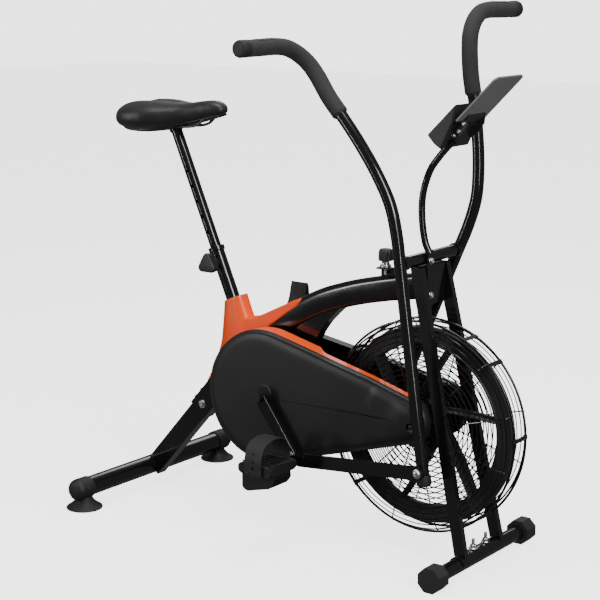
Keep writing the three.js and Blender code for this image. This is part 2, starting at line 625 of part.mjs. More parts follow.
function crankArm(sign) {
  const { x, z, y, thick, width } = CRANK;
  const [px, pz] = pinAt(sign);
  const along = [(px - x) / CRANK.length, (pz - z) / CRANK.length];
  const across = [-along[1], along[0]];
  const point = (s, t) => [x + along[0] * s + across[0] * t, z + along[1] * s + across[1] * t];
  const half = width / 2;
  const outline = [point(0, -half), point(CRANK.length, -half + 2), point(CRANK.length, half - 2),
    point(0, half)];
  const y0 = sign * y - thick / 2;
  const y1 = sign * y + thick / 2;
  const arm = slab(outline, y0, y1);
  const eye = crossBar(x, z, y0 - 1, y1 + 1, 17, 28);
  const tip = crossBar(px, pz, y0, y1, 13, 24);
  const pin = crossBar(px, pz, sign * y, sign * (LINK.y + PEDAL_WIDTH), 6, 12);
  const spacer = crossBar(px, pz, sign * y, sign * (LINK.y - 3.6), 9, 20);
  const bore = crossBar(x, z, y0 - 5, y1 + 5, 8.5 + FIT);
  return cut(join(toGeometry(outward(weld(arm))), eye, tip, pin, spacer), bore);
}

function links() {
  for (const [side, sign] of SIDES) {
    const [px, pz] = pinAt(sign);
    const angle = leverAngle(sign);
    const fx = PIVOT.x + LEVER.arm * Math.sin(angle);
    const fz = PIVOT.z - LEVER.arm * Math.cos(angle);
    const tilt = Math.atan2(fz - pz, fx - px);
    const y0 = sign * LINK.y - LINK.thick / 2;
    const half = LINK.height / 2;
    const body = slab([[46, -half], [LINK.length, -half], [LINK.length, half], [62, half], [30, 9], [0, 9],
      [0, -9], [22, -9]], y0, y0 + LINK.thick);
    const frontEye = crossBar(LINK.length, 0, y0, y0 + LINK.thick, half, 24);
    const rearEye = crossBar(0, 0, y0, y0 + LINK.thick, 14, 24);
    const bores = [crossBar(0, 0, -200, 200, 6 + FIT, 20), crossBar(LINK.length, 0, -200, 200, 5 + FIT, 20)];
    const place = (shape) => shape.rotateY(-tilt).translate(px, 0, pz);
    addPart(`link_${side}`, place(cut(join(body, frontEye, rearEye), ...bores)), 'frame');
    const outer = sign * (LINK.y + 3 + FIT);
    const dome = [[0, 0], [10, 0], [10, 3], [6.5, 6], [0, 7]].map(([r, y]) => [r, outer + sign * y]);
    const head = turned(0, 0, dome, 20);
    const shank = crossBar(0, 0, sign * (LINK.y - 3), outer + sign * 1, 5, 16);
    const bolt = join(toGeometry(outward(weld(head))), shank);
    addPart(`link_bolt_${side}`, bolt.translate(fx, 0, fz), 'zinc');
  }
}

function cranksAndPedals() {
  for (const [side, sign] of SIDES) {
    addPart(`crank_arm_${side}`, crankArm(sign), 'frame');
    const [px, pz] = pinAt(sign);
    const inner = LINK.y + 12;
    const outer = inner + PEDAL_WIDTH;
    const ys = (a, b) => (sign > 0 ? [a, b] : [-b, -a]);
    const [y0, y1] = ys(inner, outer);
    const platform = slab([[-48, -8], [-40, -15], [40, -15], [48, -8], [48, 6], [40, 11], [-40, 11],
      [-48, 6]], y0, y1);
    const [k0, k1] = ys(inner + 20, outer - 12);
    const keel = slab([[-46, -50], [-30, -60], [34, -44], [48, -24], [46, -10], [-46, -10]], k0, k1);
    const bore = crossBar(0, 0, -400, 400, 6 + FIT, 20);
    const pedal = cut(join(platform, keel), bore).translate(px, 0, pz);
    addPart(`pedal_${side}`, pedal, 'plastic');
    addPart(`pedal_strap_${side}`, pedalStrap(side, inner, outer, sign).translate(px, 0, pz), 'rubber');
  }
}

function pedalStrap(side, inner, outer, sign) {
  const middle = (inner + outer) / 2;
  const half = (outer - inner) / 2 + 4.5;
  const arch = new THREE.SplineCurve(STRAP_ARCH[side].map(([across, up]) => new THREE.Vector2(
    middle + across * half, up * STRAP_HEIGHT)));
  const steps = 18;
  const face = (offset) => arch.getPoints(steps).map((point, i) => {
    const along = arch.getTangent(i / steps);
    return new THREE.Vector2(point.x - along.y * offset, point.y + along.x * offset);
  });
  const shape = new THREE.Shape([...face(1.5), ...face(-1.5).reverse()]);
  const strap = new THREE.ExtrudeGeometry(shape, { depth: STRAP_WIDTH, bevelEnabled: false });
  // The section is drawn in (y, z), and its depth runs along x.
  const turn = new THREE.Matrix4().set(0, 0, 1, -STRAP_WIDTH / 2, sign, 0, 0, 0, 0, 1, 0, 0, 0, 0, 0, 1);
  strap.applyMatrix4(turn);
  const room = crossBar(0, 0, sign * (inner - 40), sign * (inner + 30), 11, 12);
  return cut(toGeometry(outward(weld(strap))), room);
}

// ---------------------------------------------------------------- levers
// The lever's centreline in its own frame: pivot at the origin, lower arm straight down, grip outwards.
function leverCurve(sign) {
  const points = [vec(0, 0, -LEVER.tail), vec(0, 0, -320), vec(0, 0, -150), vec(0, 0, 0)];
  LEVER_LINE.forEach(([x, z]) => points.push(vec(x, 0, z)));
  const [[x0, z0], [x1, z1]] = LEVER_LINE.slice(-2);
  const heading = vec(x1 - x0, 0, z1 - z0).normalize();
  for (let step = 1; step <= 4; step += 1) {
    const angle = (Math.PI / 2) * (step / 4);
    const along = LEVER.bend * Math.sin(angle);
    const out = LEVER.bend * (1 - Math.cos(angle));
    points.push(vec(x1 + heading.x * along, sign * out, z1 + heading.z * along));
  }
  const corner = points[points.length - 1];
  const reach = LEVER.halfSpan - LEVER.y - LEVER.bend;
  points.push(corner.clone().add(vec(0, sign * reach * 0.5, 0)));
  points.push(corner.clone().add(vec(0, sign * reach, 0)));
  return new THREE.CatmullRomCurve3(points, false, 'centripetal');
}

function levers() {
  for (const [side, sign] of SIDES) {
    const swing = new THREE.Group();
    swing.position.set(PIVOT.x, sign * LEVER.y, PIVOT.z);
    swing.rotation.y = -leverAngle(sign);
    bike.add(swing);
    const curve = leverCurve(sign);
    const tube = sweep(new Stations(curve, LEVER_STEPS), LEVER_STEPS.length - 1, circleShape(LEVER.r, 10),
      circleShape(LEVER.r - LEVER.wall - 0.6, 6));
    const bossEnds = [-sign * (LEVER.y - 101), 0];
    const boss = crossBar(0, 0, bossEnds[0], bossEnds[1] - sign * 6, 17);
    const bore = crossBar(0, 0, -sign * 40, -sign * 4.5, PIVOT.spindle + FIT);
    addPart(`lever_${side}`, cut(join(toGeometry(outward(weld(tube))), boss), bore), 'frame', swing);

    const held = LEVER_STEPS.slice(GRIP.firstStep);
    const grip = sweep(new Stations(curve, held), held.length - 1, circleShape(GRIP.outer, 10),
      circleShape(GRIP.inner, 10));
    addPart(`grip_${side}`, toGeometry(outward(weld(grip))), 'foam', swing);

    const bottom = -LEVER.tail;
    const profile = [[0, bottom - 9], [13, bottom - 9], [17, bottom - 4], [17, bottom + 16],
      [LEVER.r + FIT, bottom + 16], [LEVER.r + FIT, bottom - FIT], [0, bottom - FIT]];
    const cap = new THREE.LatheGeometry(profile.map(([r, z]) => new THREE.Vector2(r, z)), 20)
      .rotateX(Math.PI / 2);
    addPart(`lever_end_cap_${side}`, toGeometry(outward(weld(cap))), 'rubber', swing);
  }
}

// ---------------------------------------------------------------- seat
function seatSection(x, halfWidth, low, high) {
  const loop = [];
  const middle = low + (high - low) * 0.45;
  for (let i = 0; i < 16; i += 1) {
    const angle = (2 * Math.PI * i) / 16;
    const c = Math.cos(angle);
    const s = Math.sin(angle);
    const y = halfWidth * Math.sign(c) * Math.abs(c) ** 0.7;
    const rise = s > 0 ? high - middle : middle - low;
    loop.push(vec(x, y, middle + rise * Math.sign(s) * Math.abs(s) ** 0.7));
  }
  return loop;
}

function seat() {
  const stations = [[-896, 44, 956, 986], [-886, 84, 944, 1001], [-862, 102, 938, 1011],
    [-820, 105, 936, 1014], [-780, 96, 940, 1013], [-740, 74, 948, 1012], [-700, 52, 958, 1014],
    [-660, 39, 968, 1021], [-624, 31, 978, 1024], [-602, 24, 984, 1018], [-591, 13, 990, 1008]];
  const first = vec(-898, 0, 972);
  const last = vec(-589, 0, 998);
  const pad = loft(first, stations.map((station) => seatSection(...station)), last);
  const recess = block([-797, -27, 900], [-658, 27, 972]);
  addPart('saddle', cut(pad, recess), 'vinyl');

  const bottom = seatPoint(1).addScaledVector(SEAT_AXIS, -POST.buried);
  const top = bottom.clone().addScaledVector(SEAT_AXIS, POST.length);
  const holes = [];
  for (let i = 0; i < POST.holes; i += 1) {
    const at = seatPoint(PIN_PLACE).addScaledVector(SEAT_AXIS, POST.pitch * (i - 1));
    holes.push(bar(at, at.clone().addScaledVector(PIN_AXIS, 50), 5.4, 6));
  }
  addPart('seat_post', cut(pipe(bottom, top, POST.r, POST.r - 2), ...holes), 'frame');

  // The clamp holds the saddle's rails on the post's top.
  const plate = block([-790, -22, 958], [-665, 22, 968]);
  const onPost = (distance) => top.clone().addScaledVector(SEAT_AXIS, distance);
  const ring = bar(onPost(-22), onPost(12), 20, 20);
  const bolt = crossBar(top.x - 4, top.z + 2, -24, 24, 6, 6);
  const room = bar(bottom, onPost(FIT), POST.r + FIT, 20);
  addPart('seat_clamp', cut(join(plate, ring, bolt), room), 'steel');

  // A sprung pin with a flared knob, that points to the rider's right.
  const start = seatPoint(PIN_PLACE);
  const along = (distance) => start.clone().addScaledVector(PIN_AXIS, distance);
  const pin = bar(along(POST.r + 0.8), along(30), 4.8, 10);
  const neck = bar(along(SEAT_TUBE.outer + FIT + 1), along(30), 11, 12);
  const flare = bar(along(29), along(52), 15, 18, 29);
  const crown = bar(along(51.5), along(60), 29, 18, 22);
  addPart('seat_knob', join(pin, neck, flare, crown), 'plastic');
}

// ---------------------------------------------------------------- console
function consoleParts() {
  const { y, plateHalf, thick } = CONSOLE_POST;
  const line = [[20, 714], [8, 738], [-1, 786], [-2, 831], [5, 868], [20, 905], [42, 934], [67, 961],
    [76, 969]];
  const post = sweep(smoothLine(line, y), 14, circleShape(8, 10));
  const front = HEAD_FRONT + 0.5 + thick;
  const plate = block([HEAD_FRONT + 0.5, y - plateHalf, 602], [front, y + plateHalf, 722]);
  const pivot = crossBar(PIVOT.x, PIVOT.z, -60, 60, PIVOT.r + FIT);
  addPart('console_post', cut(join(toGeometry(outward(weld(post))), plate), pivot), 'frame');
  [620, 698].forEach((z, i) => {
    const screw = bar(vec(front + FIT, y, z), vec(front + FIT + 6, y, z), 7, 6);
    addPart(`console_post_bolt_${i + 1}`, screw, 'zinc');
  });

  // The display leans back towards the rider; the tablet plate rises behind it on a wedge-shaped bracket.
  const display = cut(slab([[44, 963], [62, 952], [92, 1014], [98, 1053], [26, 982]], -58, 58),
    slab([[92.5, 1010], [64, 980], [44, 945], [60, 935], [110, 975], [120, 1010]], -38, 38));
  addPart('console', display, 'plastic');
  const holder = slab([[103, 1015], [200, 1112], [196.5, 1115.5], [99.5, 1018.5]], -60, 60);
  const bracket = slab([[94, 1006], [72, 980], [84, 973], [101, 985], [116, 1006], [118, 1030]], -37, 37);
  addPart('tablet_holder', join(holder, bracket), 'grey');
}

function tensionKnob() {
  const { x, y, low, knob, top } = TENSION;
  const screw = bar(vec(x, y, low), vec(x, y, knob + 4), 4, 10);
  const grip = bar(vec(x, y, knob), vec(x, y, top), 17, 16, 13);
  addPart('tension_knob', join(screw, grip), 'plastic');
}

rearStabiliser();
frontStabiliser();
forkSaddle();
forkLegs();
head();
frame();
legBolt();
covers();
shroud();
fan();
drive();
cranksAndPedals();
links();
levers();
seat();
consoleParts();
tensionKnob();

export default bike;
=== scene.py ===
"""The visual model of an air bike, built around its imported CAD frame, in metres, +Z up, +X forward."""
import json
import math

import bmesh
import bpy
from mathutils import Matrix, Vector


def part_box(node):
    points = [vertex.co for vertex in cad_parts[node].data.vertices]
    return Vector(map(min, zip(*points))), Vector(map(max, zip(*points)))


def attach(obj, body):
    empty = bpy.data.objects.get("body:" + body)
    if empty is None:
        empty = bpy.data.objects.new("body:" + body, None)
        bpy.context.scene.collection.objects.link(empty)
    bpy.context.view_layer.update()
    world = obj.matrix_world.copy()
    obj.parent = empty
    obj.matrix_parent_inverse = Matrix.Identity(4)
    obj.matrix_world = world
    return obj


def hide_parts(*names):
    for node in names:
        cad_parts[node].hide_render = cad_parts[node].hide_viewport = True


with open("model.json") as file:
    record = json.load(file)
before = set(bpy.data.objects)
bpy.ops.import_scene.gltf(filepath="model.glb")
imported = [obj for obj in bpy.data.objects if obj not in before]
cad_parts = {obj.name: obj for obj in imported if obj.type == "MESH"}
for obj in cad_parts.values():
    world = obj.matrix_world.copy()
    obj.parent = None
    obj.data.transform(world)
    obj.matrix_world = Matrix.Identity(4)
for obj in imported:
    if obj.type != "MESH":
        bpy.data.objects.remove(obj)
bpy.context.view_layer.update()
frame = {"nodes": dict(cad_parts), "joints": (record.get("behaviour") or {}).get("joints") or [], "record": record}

# ---------------------------------------------------------------- places, from the frame
MM = 0.001
JOINTS = {joint["name"]: joint for joint in frame["joints"]}
FAN = Vector(JOINTS["fan_spin"]["pos_m"])
CRANK = Vector(JOINTS["crank_spin"]["pos_m"])
PIVOT = Vector(JOINTS["lever_right_swing"]["pos_m"])
SEAT_AXIS = Vector(JOINTS["seat_height"]["axis"]).normalized()
PIN_AXIS = Vector(JOINTS["seat_pin_pull"]["axis"]).normalized()
SIDES = (("right", -1), ("left", 1))
ACROSS = Vector((0, 1, 0))
UP = Vector((0, 0, 1))
NODE_BODY = {node: body for body, nodes in frame["record"]["behaviour"]["bodies"].items() for node in nodes}


def at(x, y, z):
    """A point given in millimetres from the floor under the fan's axle."""
    return Vector((FAN.x + x * MM, y * MM, z * MM))


def middle(node):
    low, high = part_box(node)
    return (low + high) / 2


# ---------------------------------------------------------------- materials
def new_material(name, colour, rough, metal=0.0, coat=0.0, coat_rough=0.1, sheen=0.0):
    """A material with its plain numbers set on the shader itself."""
    material = bpy.data.materials.new(name)
    material.use_nodes = True
    shader = material.node_tree.nodes["Principled BSDF"]
    shader.inputs["Base Color"].default_value = (*colour, 1)
    shader.inputs["Roughness"].default_value = rough
    shader.inputs["Metallic"].default_value = metal
    shader.inputs["Coat Weight"].default_value = coat
    shader.inputs["Coat Roughness"].default_value = coat_rough
    shader.inputs["Sheen Weight"].default_value = sheen
    return material, shader


def add_noise(tree, scale, detail=3.0, stretch=(1, 1, 1)):
    coordinates = tree.nodes.new("ShaderNodeTexCoord")
    mapping = tree.nodes.new("ShaderNodeMapping")
    mapping.inputs["Scale"].default_value = stretch
    noise = tree.nodes.new("ShaderNodeTexNoise")
    noise.inputs["Scale"].default_value = scale
    noise.inputs["Detail"].default_value = detail
    tree.links.new(coordinates.outputs["Object"], mapping.inputs["Vector"])
    tree.links.new(mapping.outputs["Vector"], noise.inputs["Vector"])
    return noise.outputs["Fac"]


def vary(material, shader, colour, spread, scale, rough, rough_spread, wear=0.0, wear_colour=(0, 0, 0)):
    """Slow colour and roughness changes over the surface, and paler edges where it is handled."""
    tree = material.node_tree
    noise = add_noise(tree, scale, 5)
    ramp = tree.nodes.new("ShaderNodeValToRGB")
    dark = tuple(channel * (1 - spread) for channel in colour)
    pale = tuple(min(1, channel * (1 + spread)) for channel in colour)
    ramp.color_ramp.elements[0].position = 0.3
    ramp.color_ramp.elements[1].position = 0.7
    ramp.color_ramp.elements[0].color = (*dark, 1)
    ramp.color_ramp.elements[1].color = (*pale, 1)
    tree.links.new(noise, ramp.inputs["Fac"])
    result = ramp.outputs["Color"]
    if wear:
        geometry = tree.nodes.new("ShaderNodeNewGeometry")
        edge = tree.nodes.new("ShaderNodeMapRange")
        edge.inputs["From Min"].default_value = 0.53
        edge.inputs["From Max"].default_value = 0.62
        edge.inputs["To Max"].default_value = wear
        mix = tree.nodes.new("ShaderNodeMix")
        mix.data_type = "RGBA"
        mix.inputs["B"].default_value = (*wear_colour, 1)
        tree.links.new(geometry.outputs["Pointiness"], edge.inputs["Value"])
        tree.links.new(edge.outputs["Result"], mix.inputs["Factor"])
        tree.links.new(result, mix.inputs["A"])
        result = mix.outputs["Result"]
    tree.links.new(result, shader.inputs["Base Color"])
    range_node = tree.nodes.new("ShaderNodeMapRange")
    range_node.inputs["From Min"].default_value = 0.3
    range_node.inputs["From Max"].default_value = 0.7
    range_node.inputs["To Min"].default_value = rough - rough_spread
    range_node.inputs["To Max"].default_value = rough + rough_spread
    tree.links.new(noise, range_node.inputs["Value"])
    tree.links.new(range_node.outputs["Result"], shader.inputs["Roughness"])


def roughen(material, shader, scale, strength, distance, detail=3.0, stretch=(1, 1, 1), cells=None):
    """A bump from fine noise, or from a field of small cells for foam pores and leather grain."""
    tree = material.node_tree
    if cells:
        coordinates = tree.nodes.new("ShaderNodeTexCoord")
        voronoi = tree.nodes.new("ShaderNodeTexVoronoi")
        voronoi.feature = cells
        voronoi.inputs["Scale"].default_value = scale
        tree.links.new(coordinates.outputs["Object"], voronoi.inputs["Vector"])
        height = voronoi.outputs["Distance"]
    else:
        height = add_noise(tree, scale, detail, stretch)
    bump = tree.nodes.new("ShaderNodeBump")
    bump.inputs["Strength"].default_value = strength
    bump.inputs["Distance"].default_value = distance
    tree.links.new(height, bump.inputs["Height"])
    tree.links.new(bump.outputs["Normal"], shader.inputs["Normal"])


def surface(name, colour, rough, changes, grain=None, wear=(0.0, (0, 0, 0)), **shine):
    """A material: changes holds its colour spread, their scale and its roughness spread; grain is its bump."""
    material, shader = new_material(name, colour, rough, **shine)
    spread, scale, rough_spread = changes
    vary(material, shader, colour, spread, scale, rough, rough_spread, *wear)
    if grain:
        roughen(material, shader, **grain)
    return material


def moulded_plastic(name, colour, rough):
    """Textured moulding."""
    return surface(name, colour, rough, (0.12, 9, 0.05),
                   dict(scale=1500, detail=4, strength=0.12, distance=0.0003), (0.2, (0.03, 0.03, 0.03)))


LOOKS = {
    # Black powder coat with a faint orange peel.
    "frame_paint": surface("gloss_paint", (0.0045, 0.0045, 0.005), 0.15, (0.25, 14, 0.03),
                           dict(scale=420, detail=2, strength=0.012, distance=0.0004),
                           (0.12, (0.02, 0.02, 0.021)), coat=0.2, coat_rough=0.05),
    "cover_plastic": moulded_plastic("moulded_plastic", (0.0085, 0.0085, 0.009), 0.42),
    "orange_plastic": surface("orange_gloss", (1.0, 0.085, 0.0), 0.38, (0.05, 7, 0.04),
                              dict(scale=500, detail=2, strength=0.04, distance=0.0004),
                              coat=0.15, coat_rough=0.08),
    "rubber": surface("soft_rubber", (0.0095, 0.0095, 0.0095), 0.62, (0.2, 25, 0.08),
                      dict(scale=900, detail=5, strength=0.2, distance=0.0004), (0.3, (0.04, 0.04, 0.04))),
    "grip_foam": surface("closed_foam", (0.019, 0.019, 0.0195), 0.85, (0.22, 60, 0.06),
                         dict(scale=900, cells="F1", strength=0.35, distance=0.0005), sheen=0.05),
    "saddle_vinyl": surface("saddle_vinyl", (0.011, 0.011, 0.0115), 0.44, (0.18, 20, 0.05),
                            dict(scale=650, cells="DISTANCE_TO_EDGE", strength=0.22, distance=0.0005),
                            sheen=0.05),
    "zinc": surface("zinc_plate", (0.62, 0.63, 0.65), 0.3, (0.15, 120, 0.1),
                    dict(scale=300, detail=4, stretch=(1, 6, 1), strength=0.12, distance=0.0002), metal=1.0),
    "dark_steel": surface("oiled_steel", (0.11, 0.112, 0.118), 0.36, (0.3, 60, 0.1),
                          dict(scale=500, detail=4, strength=0.15, distance=0.0002), metal=1.0),
    "tablet_grey": moulded_plastic("grey_moulding", (0.15, 0.15, 0.151), 0.5),
    "fan_plastic": moulded_plastic("fan_plastic", (0.014, 0.014, 0.0145), 0.5),
    "display": surface("display_glass", (0.02, 0.024, 0.022), 0.09, (0.1, 15, 0.02), coat=0.6, coat_rough=0.03),
}


# ---------------------------------------------------------------- mesh helpers
def piece(name, verts, faces, slot, body, replaces=(), sharp=38, bevel=0.0, segments=2, look=None):
    """A new mesh piece in the row frame, riding on a body."""
    mesh = bpy.data.meshes.new(name)
    mesh.from_pydata([tuple(v) for v in verts], [], faces)
    work = bmesh.new()
    work.from_mesh(mesh)
    bmesh.ops.remove_doubles(work, verts=work.verts, dist=1e-6)
    bmesh.ops.recalc_face_normals(work, faces=work.faces)
    work.to_mesh(mesh)
    work.free()
    mesh.shade_smooth()
    mesh.set_sharp_from_angle(angle=math.radians(sharp))
    mesh.materials.append(LOOKS[look or slot])
    made = bpy.data.objects.new(name, mesh)
    bpy.context.scene.collection.objects.link(made)
    if bevel:
        add_bevel(made, bevel, segments)
    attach(made, body)
    if replaces:
        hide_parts(*replaces)
    return made


def add_bevel(made, width, segments=2, angle=38):
    modifier = made.modifiers.new("soft_edges", "BEVEL")
    modifier.width = width * MM
    modifier.segments = segments
    modifier.limit_method = "ANGLE"
    modifier.angle_limit = math.radians(angle)
    modifier.harden_normals = True


def rings_to_mesh(rings, closed=False):
    """Vertices and faces of a body through equal rings of points; its ends are closed unless it is a loop."""
    count = len(rings[0])
    verts = [point for ring in rings for point in ring]
    faces = []
    for k in range(len(rings) if closed else len(rings) - 1):
        a, b = k * count, ((k + 1) % len(rings)) * count
        for i in range(count):
            j = (i + 1) % count
            faces.append((a + i, a + j, b + j, b + i))
    if not closed:
        faces.append(tuple(range(count)))
        faces.append(tuple(range(len(verts) - 1, len(verts) - count - 1, -1)))
    return verts, faces


def catmull(points, steps=8):
    """A centripetal Catmull-Rom line through the points."""
    points = [Vector(p) for p in points]
    line = []
    for i in range(len(points) - 1):
        b, c = points[i], points[i + 1]
        a = points[i - 1] if i else b * 2 - c
        d = points[i + 2] if i + 2 < len(points) else c * 2 - b
        t0, t1, t2 = ((q - p).length ** 0.5 for p, q in ((a, b), (b, c), (c, d)))
        m1 = ((b - a) / t0 - (c - a) / (t0 + t1) + (c - b) / t1) * t1
        m2 = ((c - b) / t1 - (d - b) / (t1 + t2) + (d - c) / t2) * t1
        for k in range(steps):
            t = k / steps
            line.append(b * (2 * t**3 - 3 * t**2 + 1) + m1 * (t**3 - 2 * t**2 + t)
                        + c * (3 * t**2 - 2 * t**3) + m2 * (t**3 - t**2))
    line.append(points[-1])
    return line


def frames_along(line, up):
    """A tangent and two normals at each point, turned as little as possible from one to the next."""
    tangents = []
    for i in range(len(line)):
        tangents.append((line[min(i + 1, len(line) - 1)] - line[max(i - 1, 0)]).normalized())
    side = (up - tangents[0] * up.dot(tangents[0])).normalized()
    out = []
    for tangent in tangents:
        side = (side - tangent * side.dot(tangent)).normalized()
        out.append((tangent, side, tangent.cross(side)))
    return out


def circle(sides):
    return [(math.cos(2 * math.pi * i / sides), math.sin(2 * math.pi * i / sides)) for i in range(sides)]


def sweep_rings(line, section, scales=None, up=ACROSS):
    """Rings of a section carried along a line; scales gives one factor per point."""
    rings = []
    for i, (point, (_, side, other)) in enumerate(zip(line, frames_along(line, up))):
        k = scales[i] if scales else 1
        rings.append([point + side * (u * k) + other * (v * k) for u, v in section])
    return rings


def tube(name, line, radius, slot, body, sides=24, **more):
    return piece(name, *rings_to_mesh(sweep_rings(line, round_section(radius, sides))), slot, body, **more)


def across(axis):
    """Two directions square to an axis."""
    first = axis.orthogonal().normalized()
    if abs(axis.y) > 0.9:
        first = Vector((1, 0, 0))
    return first, axis.cross(first).normalized()


def lathe_mesh(profile, centre, axis, sides=48):
    """Vertices and faces of a turned body, from [radius, height] in millimetres along an axis."""
    u, v = across(axis)
    rings = []
    for radius, height in profile:
        middle_point = centre + axis * (height * MM)
        r = max(radius, 0.02) * MM
        rings.append([middle_point + u * (r * c) + v * (r * s) for c, s in circle(sides)])
    return rings_to_mesh(rings)


def lathe(name, profile, centre, axis, slot, body, sides=48, **more):
    return piece(name, *lathe_mesh(profile, centre, axis, sides), slot, body, **more)


def prism_mesh(outline, y0, y1):
    """Vertices and faces of a side-view outline in millimetres, with thickness from y0 to y1."""
    rings = [[at(x, y, z) for x, z in outline] for y in (y0, y1)]
    return rings_to_mesh(rings)


def prism(name, outline, y0, y1, slot, body, **more):
    return piece(name, *prism_mesh(outline, y0, y1), slot, body, **more)


def hoop_mesh(profile, centre, sides):
    """A closed ring turned about an axle across the bike, from [radius, y] in millimetres."""
    rings = []
    for r, y in profile:
        rings.append([Vector((centre.x + r * MM * c, y * MM, centre.z + r * MM * s)) for c, s in circle(sides)])
    return rings_to_mesh(rings, closed=True)


def round_section(radius, sides):
    return [(radius * MM * c, radius * MM * s) for c, s in circle(sides)]


def merge(*meshes):
    """Several (verts, faces) as one."""
    verts, faces = [], []
    for some, some_faces in meshes:
        base = len(verts)
        verts += some
        faces += [tuple(i + base for i in face) for face in some_faces]
    return verts, faces


def bar_mesh(start, end, radius, sides=16):
    axis = (end - start).normalized()
    u, v = across(axis)
    section = round_section(radius, sides)
    return rings_to_mesh([[p + u * a + v * b for a, b in section] for p in (start, end)])


def bolt(name, centre, axis, radius, height, slot, body, washer=0.0, recess=True, replaces=()):
    """A hex bolt head on a washer, with a rounded top."""
    u, v = across(axis)
    parts = []
    base = 0.0
    if washer:
        parts.append(lathe_mesh([(0.1, 0), (washer, 0), (washer, 1.2), (washer - 0.5, 1.7), (0.1, 1.7)],
                                centre, axis, 28))
        base = 1.7
    rings = []
    for k, h in ((1, base), (1, base + height - 1), (0.86, base + height), (0.5, base + height)):
        origin = centre + axis * (h * MM)
        rings.append([origin + (u * c + v * s) * (radius * MM * k) for c, s in circle(6)])
    if recess:
        origin = centre + axis * ((base + height - 1.6) * MM)
        rings.append([origin + (u * c + v * s) * (radius * MM * 0.45) for c, s in circle(6)])
    parts.append(rings_to_mesh(rings))
    return piece(name, *merge(*parts), slot, body, sharp=25, bevel=0.35, replaces=replaces)


def finish_cad():
    """The CAD nodes that stay get their slot's material, and shading that follows their real edges."""
    slots = {part["node"]: part["material_slot"] for part in frame["record"]["subparts"]}
    for name, node in frame["nodes"].items():
        node.data.materials.clear()
        node.data.materials.append(LOOKS[slots[name]])
        node.data.shade_smooth()
        node.data.set_sharp_from_angle(angle=math.radians(36))


SOFT_EDGES = {
    "fork_leg_right": 2.2, "fork_leg_left": 2.2, "head_block": 2.0, "rear_leg": 2.5, "rear_stay": 3.0,
    "main_gusset": 5.0, "front_end_cap_right": 4.0, "front_end_cap_left": 4.0,
    "link_right": 1.2, "link_left": 1.2, "fork_saddle": 0.8,
}


def soften_cad():
    for name, width in SOFT_EDGES.items():
        add_bevel(frame["nodes"][name], width, 3, 50)


# ---------------------------------------------------------------- base
REAR_X, REAR_Z, REAR_R, REAR_HALF = -853, 52, 24.5, 268
FRONT_X, FRONT_Z, FRONT_R, FRONT_HALF = 149, 28, 17, 178
FOOT_Y, FRONT_BOLT_Y = 260, 27


def base():
    for name, x, z, r, half in (("rear_stabilizer", REAR_X, REAR_Z, REAR_R, REAR_HALF),
                                ("front_stabilizer", FRONT_X, FRONT_Z, FRONT_R, FRONT_HALF)):
        bar = bar_mesh(at(x, -half, z), at(x, half, z), r, 48)
        piece(f"fine_{name}", *bar, "frame_paint", "frame", (name,))
    for side, sign in SIDES:
        inner = REAR_HALF - 22
        profile = [(24, inner), (27, inner), (27.8, inner + 1), (27.8, inner + 22), (27.2, inner + 23),
                   (27.2, inner + 24.5), (27.8, inner + 25.5), (27.6, REAR_HALF + 14), (26.6, REAR_HALF + 19),
                   (24, REAR_HALF + 24), (19, REAR_HALF + 28), (11, REAR_HALF + 29.8), (0, REAR_HALF + 30)]
        lathe(f"fine_rear_end_cap_{side}", profile, at(REAR_X, 0, REAR_Z), ACROSS * sign, "rubber", "frame", 56,
              replaces=(f"rear_end_cap_{side}",), sharp=30)
        foot = [(0, 0), (43, 0), (45.4, 0.8), (46, 2), (45.6, 4), (43, 6), (39, 8.4), (35, 11), (31, 14.4),
                (27, 18.5), (23, 23.5), (20, 28.5), (19, 32), (19, 39), (0, 39)]
        lathe(f"fine_rear_foot_{side}", foot, at(REAR_X, FOOT_Y * sign, 0), UP, "rubber", "frame", 56,
              replaces=(f"rear_foot_{side}",), sharp=35)
        low = FRONT_Z + FRONT_R + 3.6
        bolt(f"fine_front_bolt_{side}", at(FRONT_X, FRONT_BOLT_Y * sign, low), UP, 8, 8, "zinc", "frame",
             washer=11, recess=False, replaces=(f"front_bolt_{side}",))
        thread_start = at(FRONT_X, FRONT_BOLT_Y * sign, low + 7)
        threaded_rod(f"front_bolt_thread_{side}", thread_start, UP, 4, 16.5, "zinc", "frame")


def threaded_rod(name, start, axis, radius, length, slot, body, pitch=1.5):
    profile = [(0, 0)]
    height = 0.0
    while height < length - pitch:
        profile += [(radius, height), (radius - 0.55, height + pitch / 2)]
        height += pitch
    profile += [(radius, height), (radius - 0.8, length), (0, length)]
    return lathe(name, profile, start, axis, slot, body, 20, sharp=80)


# ---------------------------------------------------------------- frame
MAIN_LINE = [(-512, 380), (-500, 397), (-441, 457), (-376, 515), (-300, 559), (-218, 589), (-118, 614),
             (-14, 633), (-6, 634)]
SEAT_LOW = (-508, 385)
SEAT_LENGTH = math.hypot(120, 272)
LEG_SLOPE = math.radians(48.4)
LEG_START = (-838, 54)


def rounded_rectangle(height, width, corner, steps=7):
    points = []
    for sx, sy, start in ((1, 1, 0), (-1, 1, 90), (-1, -1, 180), (1, -1, 270)):
        for k in range(steps + 1):
            angle = math.radians(start + 90 * k / steps)
            points.append(((sx * (width / 2 - corner) + corner * math.cos(angle)) * MM,
                           (sy * (height / 2 - corner) + corner * math.sin(angle)) * MM))
    return points


def leg_point(along, off, y):
    """A point by its distance up the rear leg and its distance above the leg's axis."""
    x = LEG_START[0] + along * math.cos(LEG_SLOPE) - off * math.sin(LEG_SLOPE)
    z = LEG_START[1] + along * math.sin(LEG_SLOPE) + off * math.cos(LEG_SLOPE)
    return at(x, y, z)


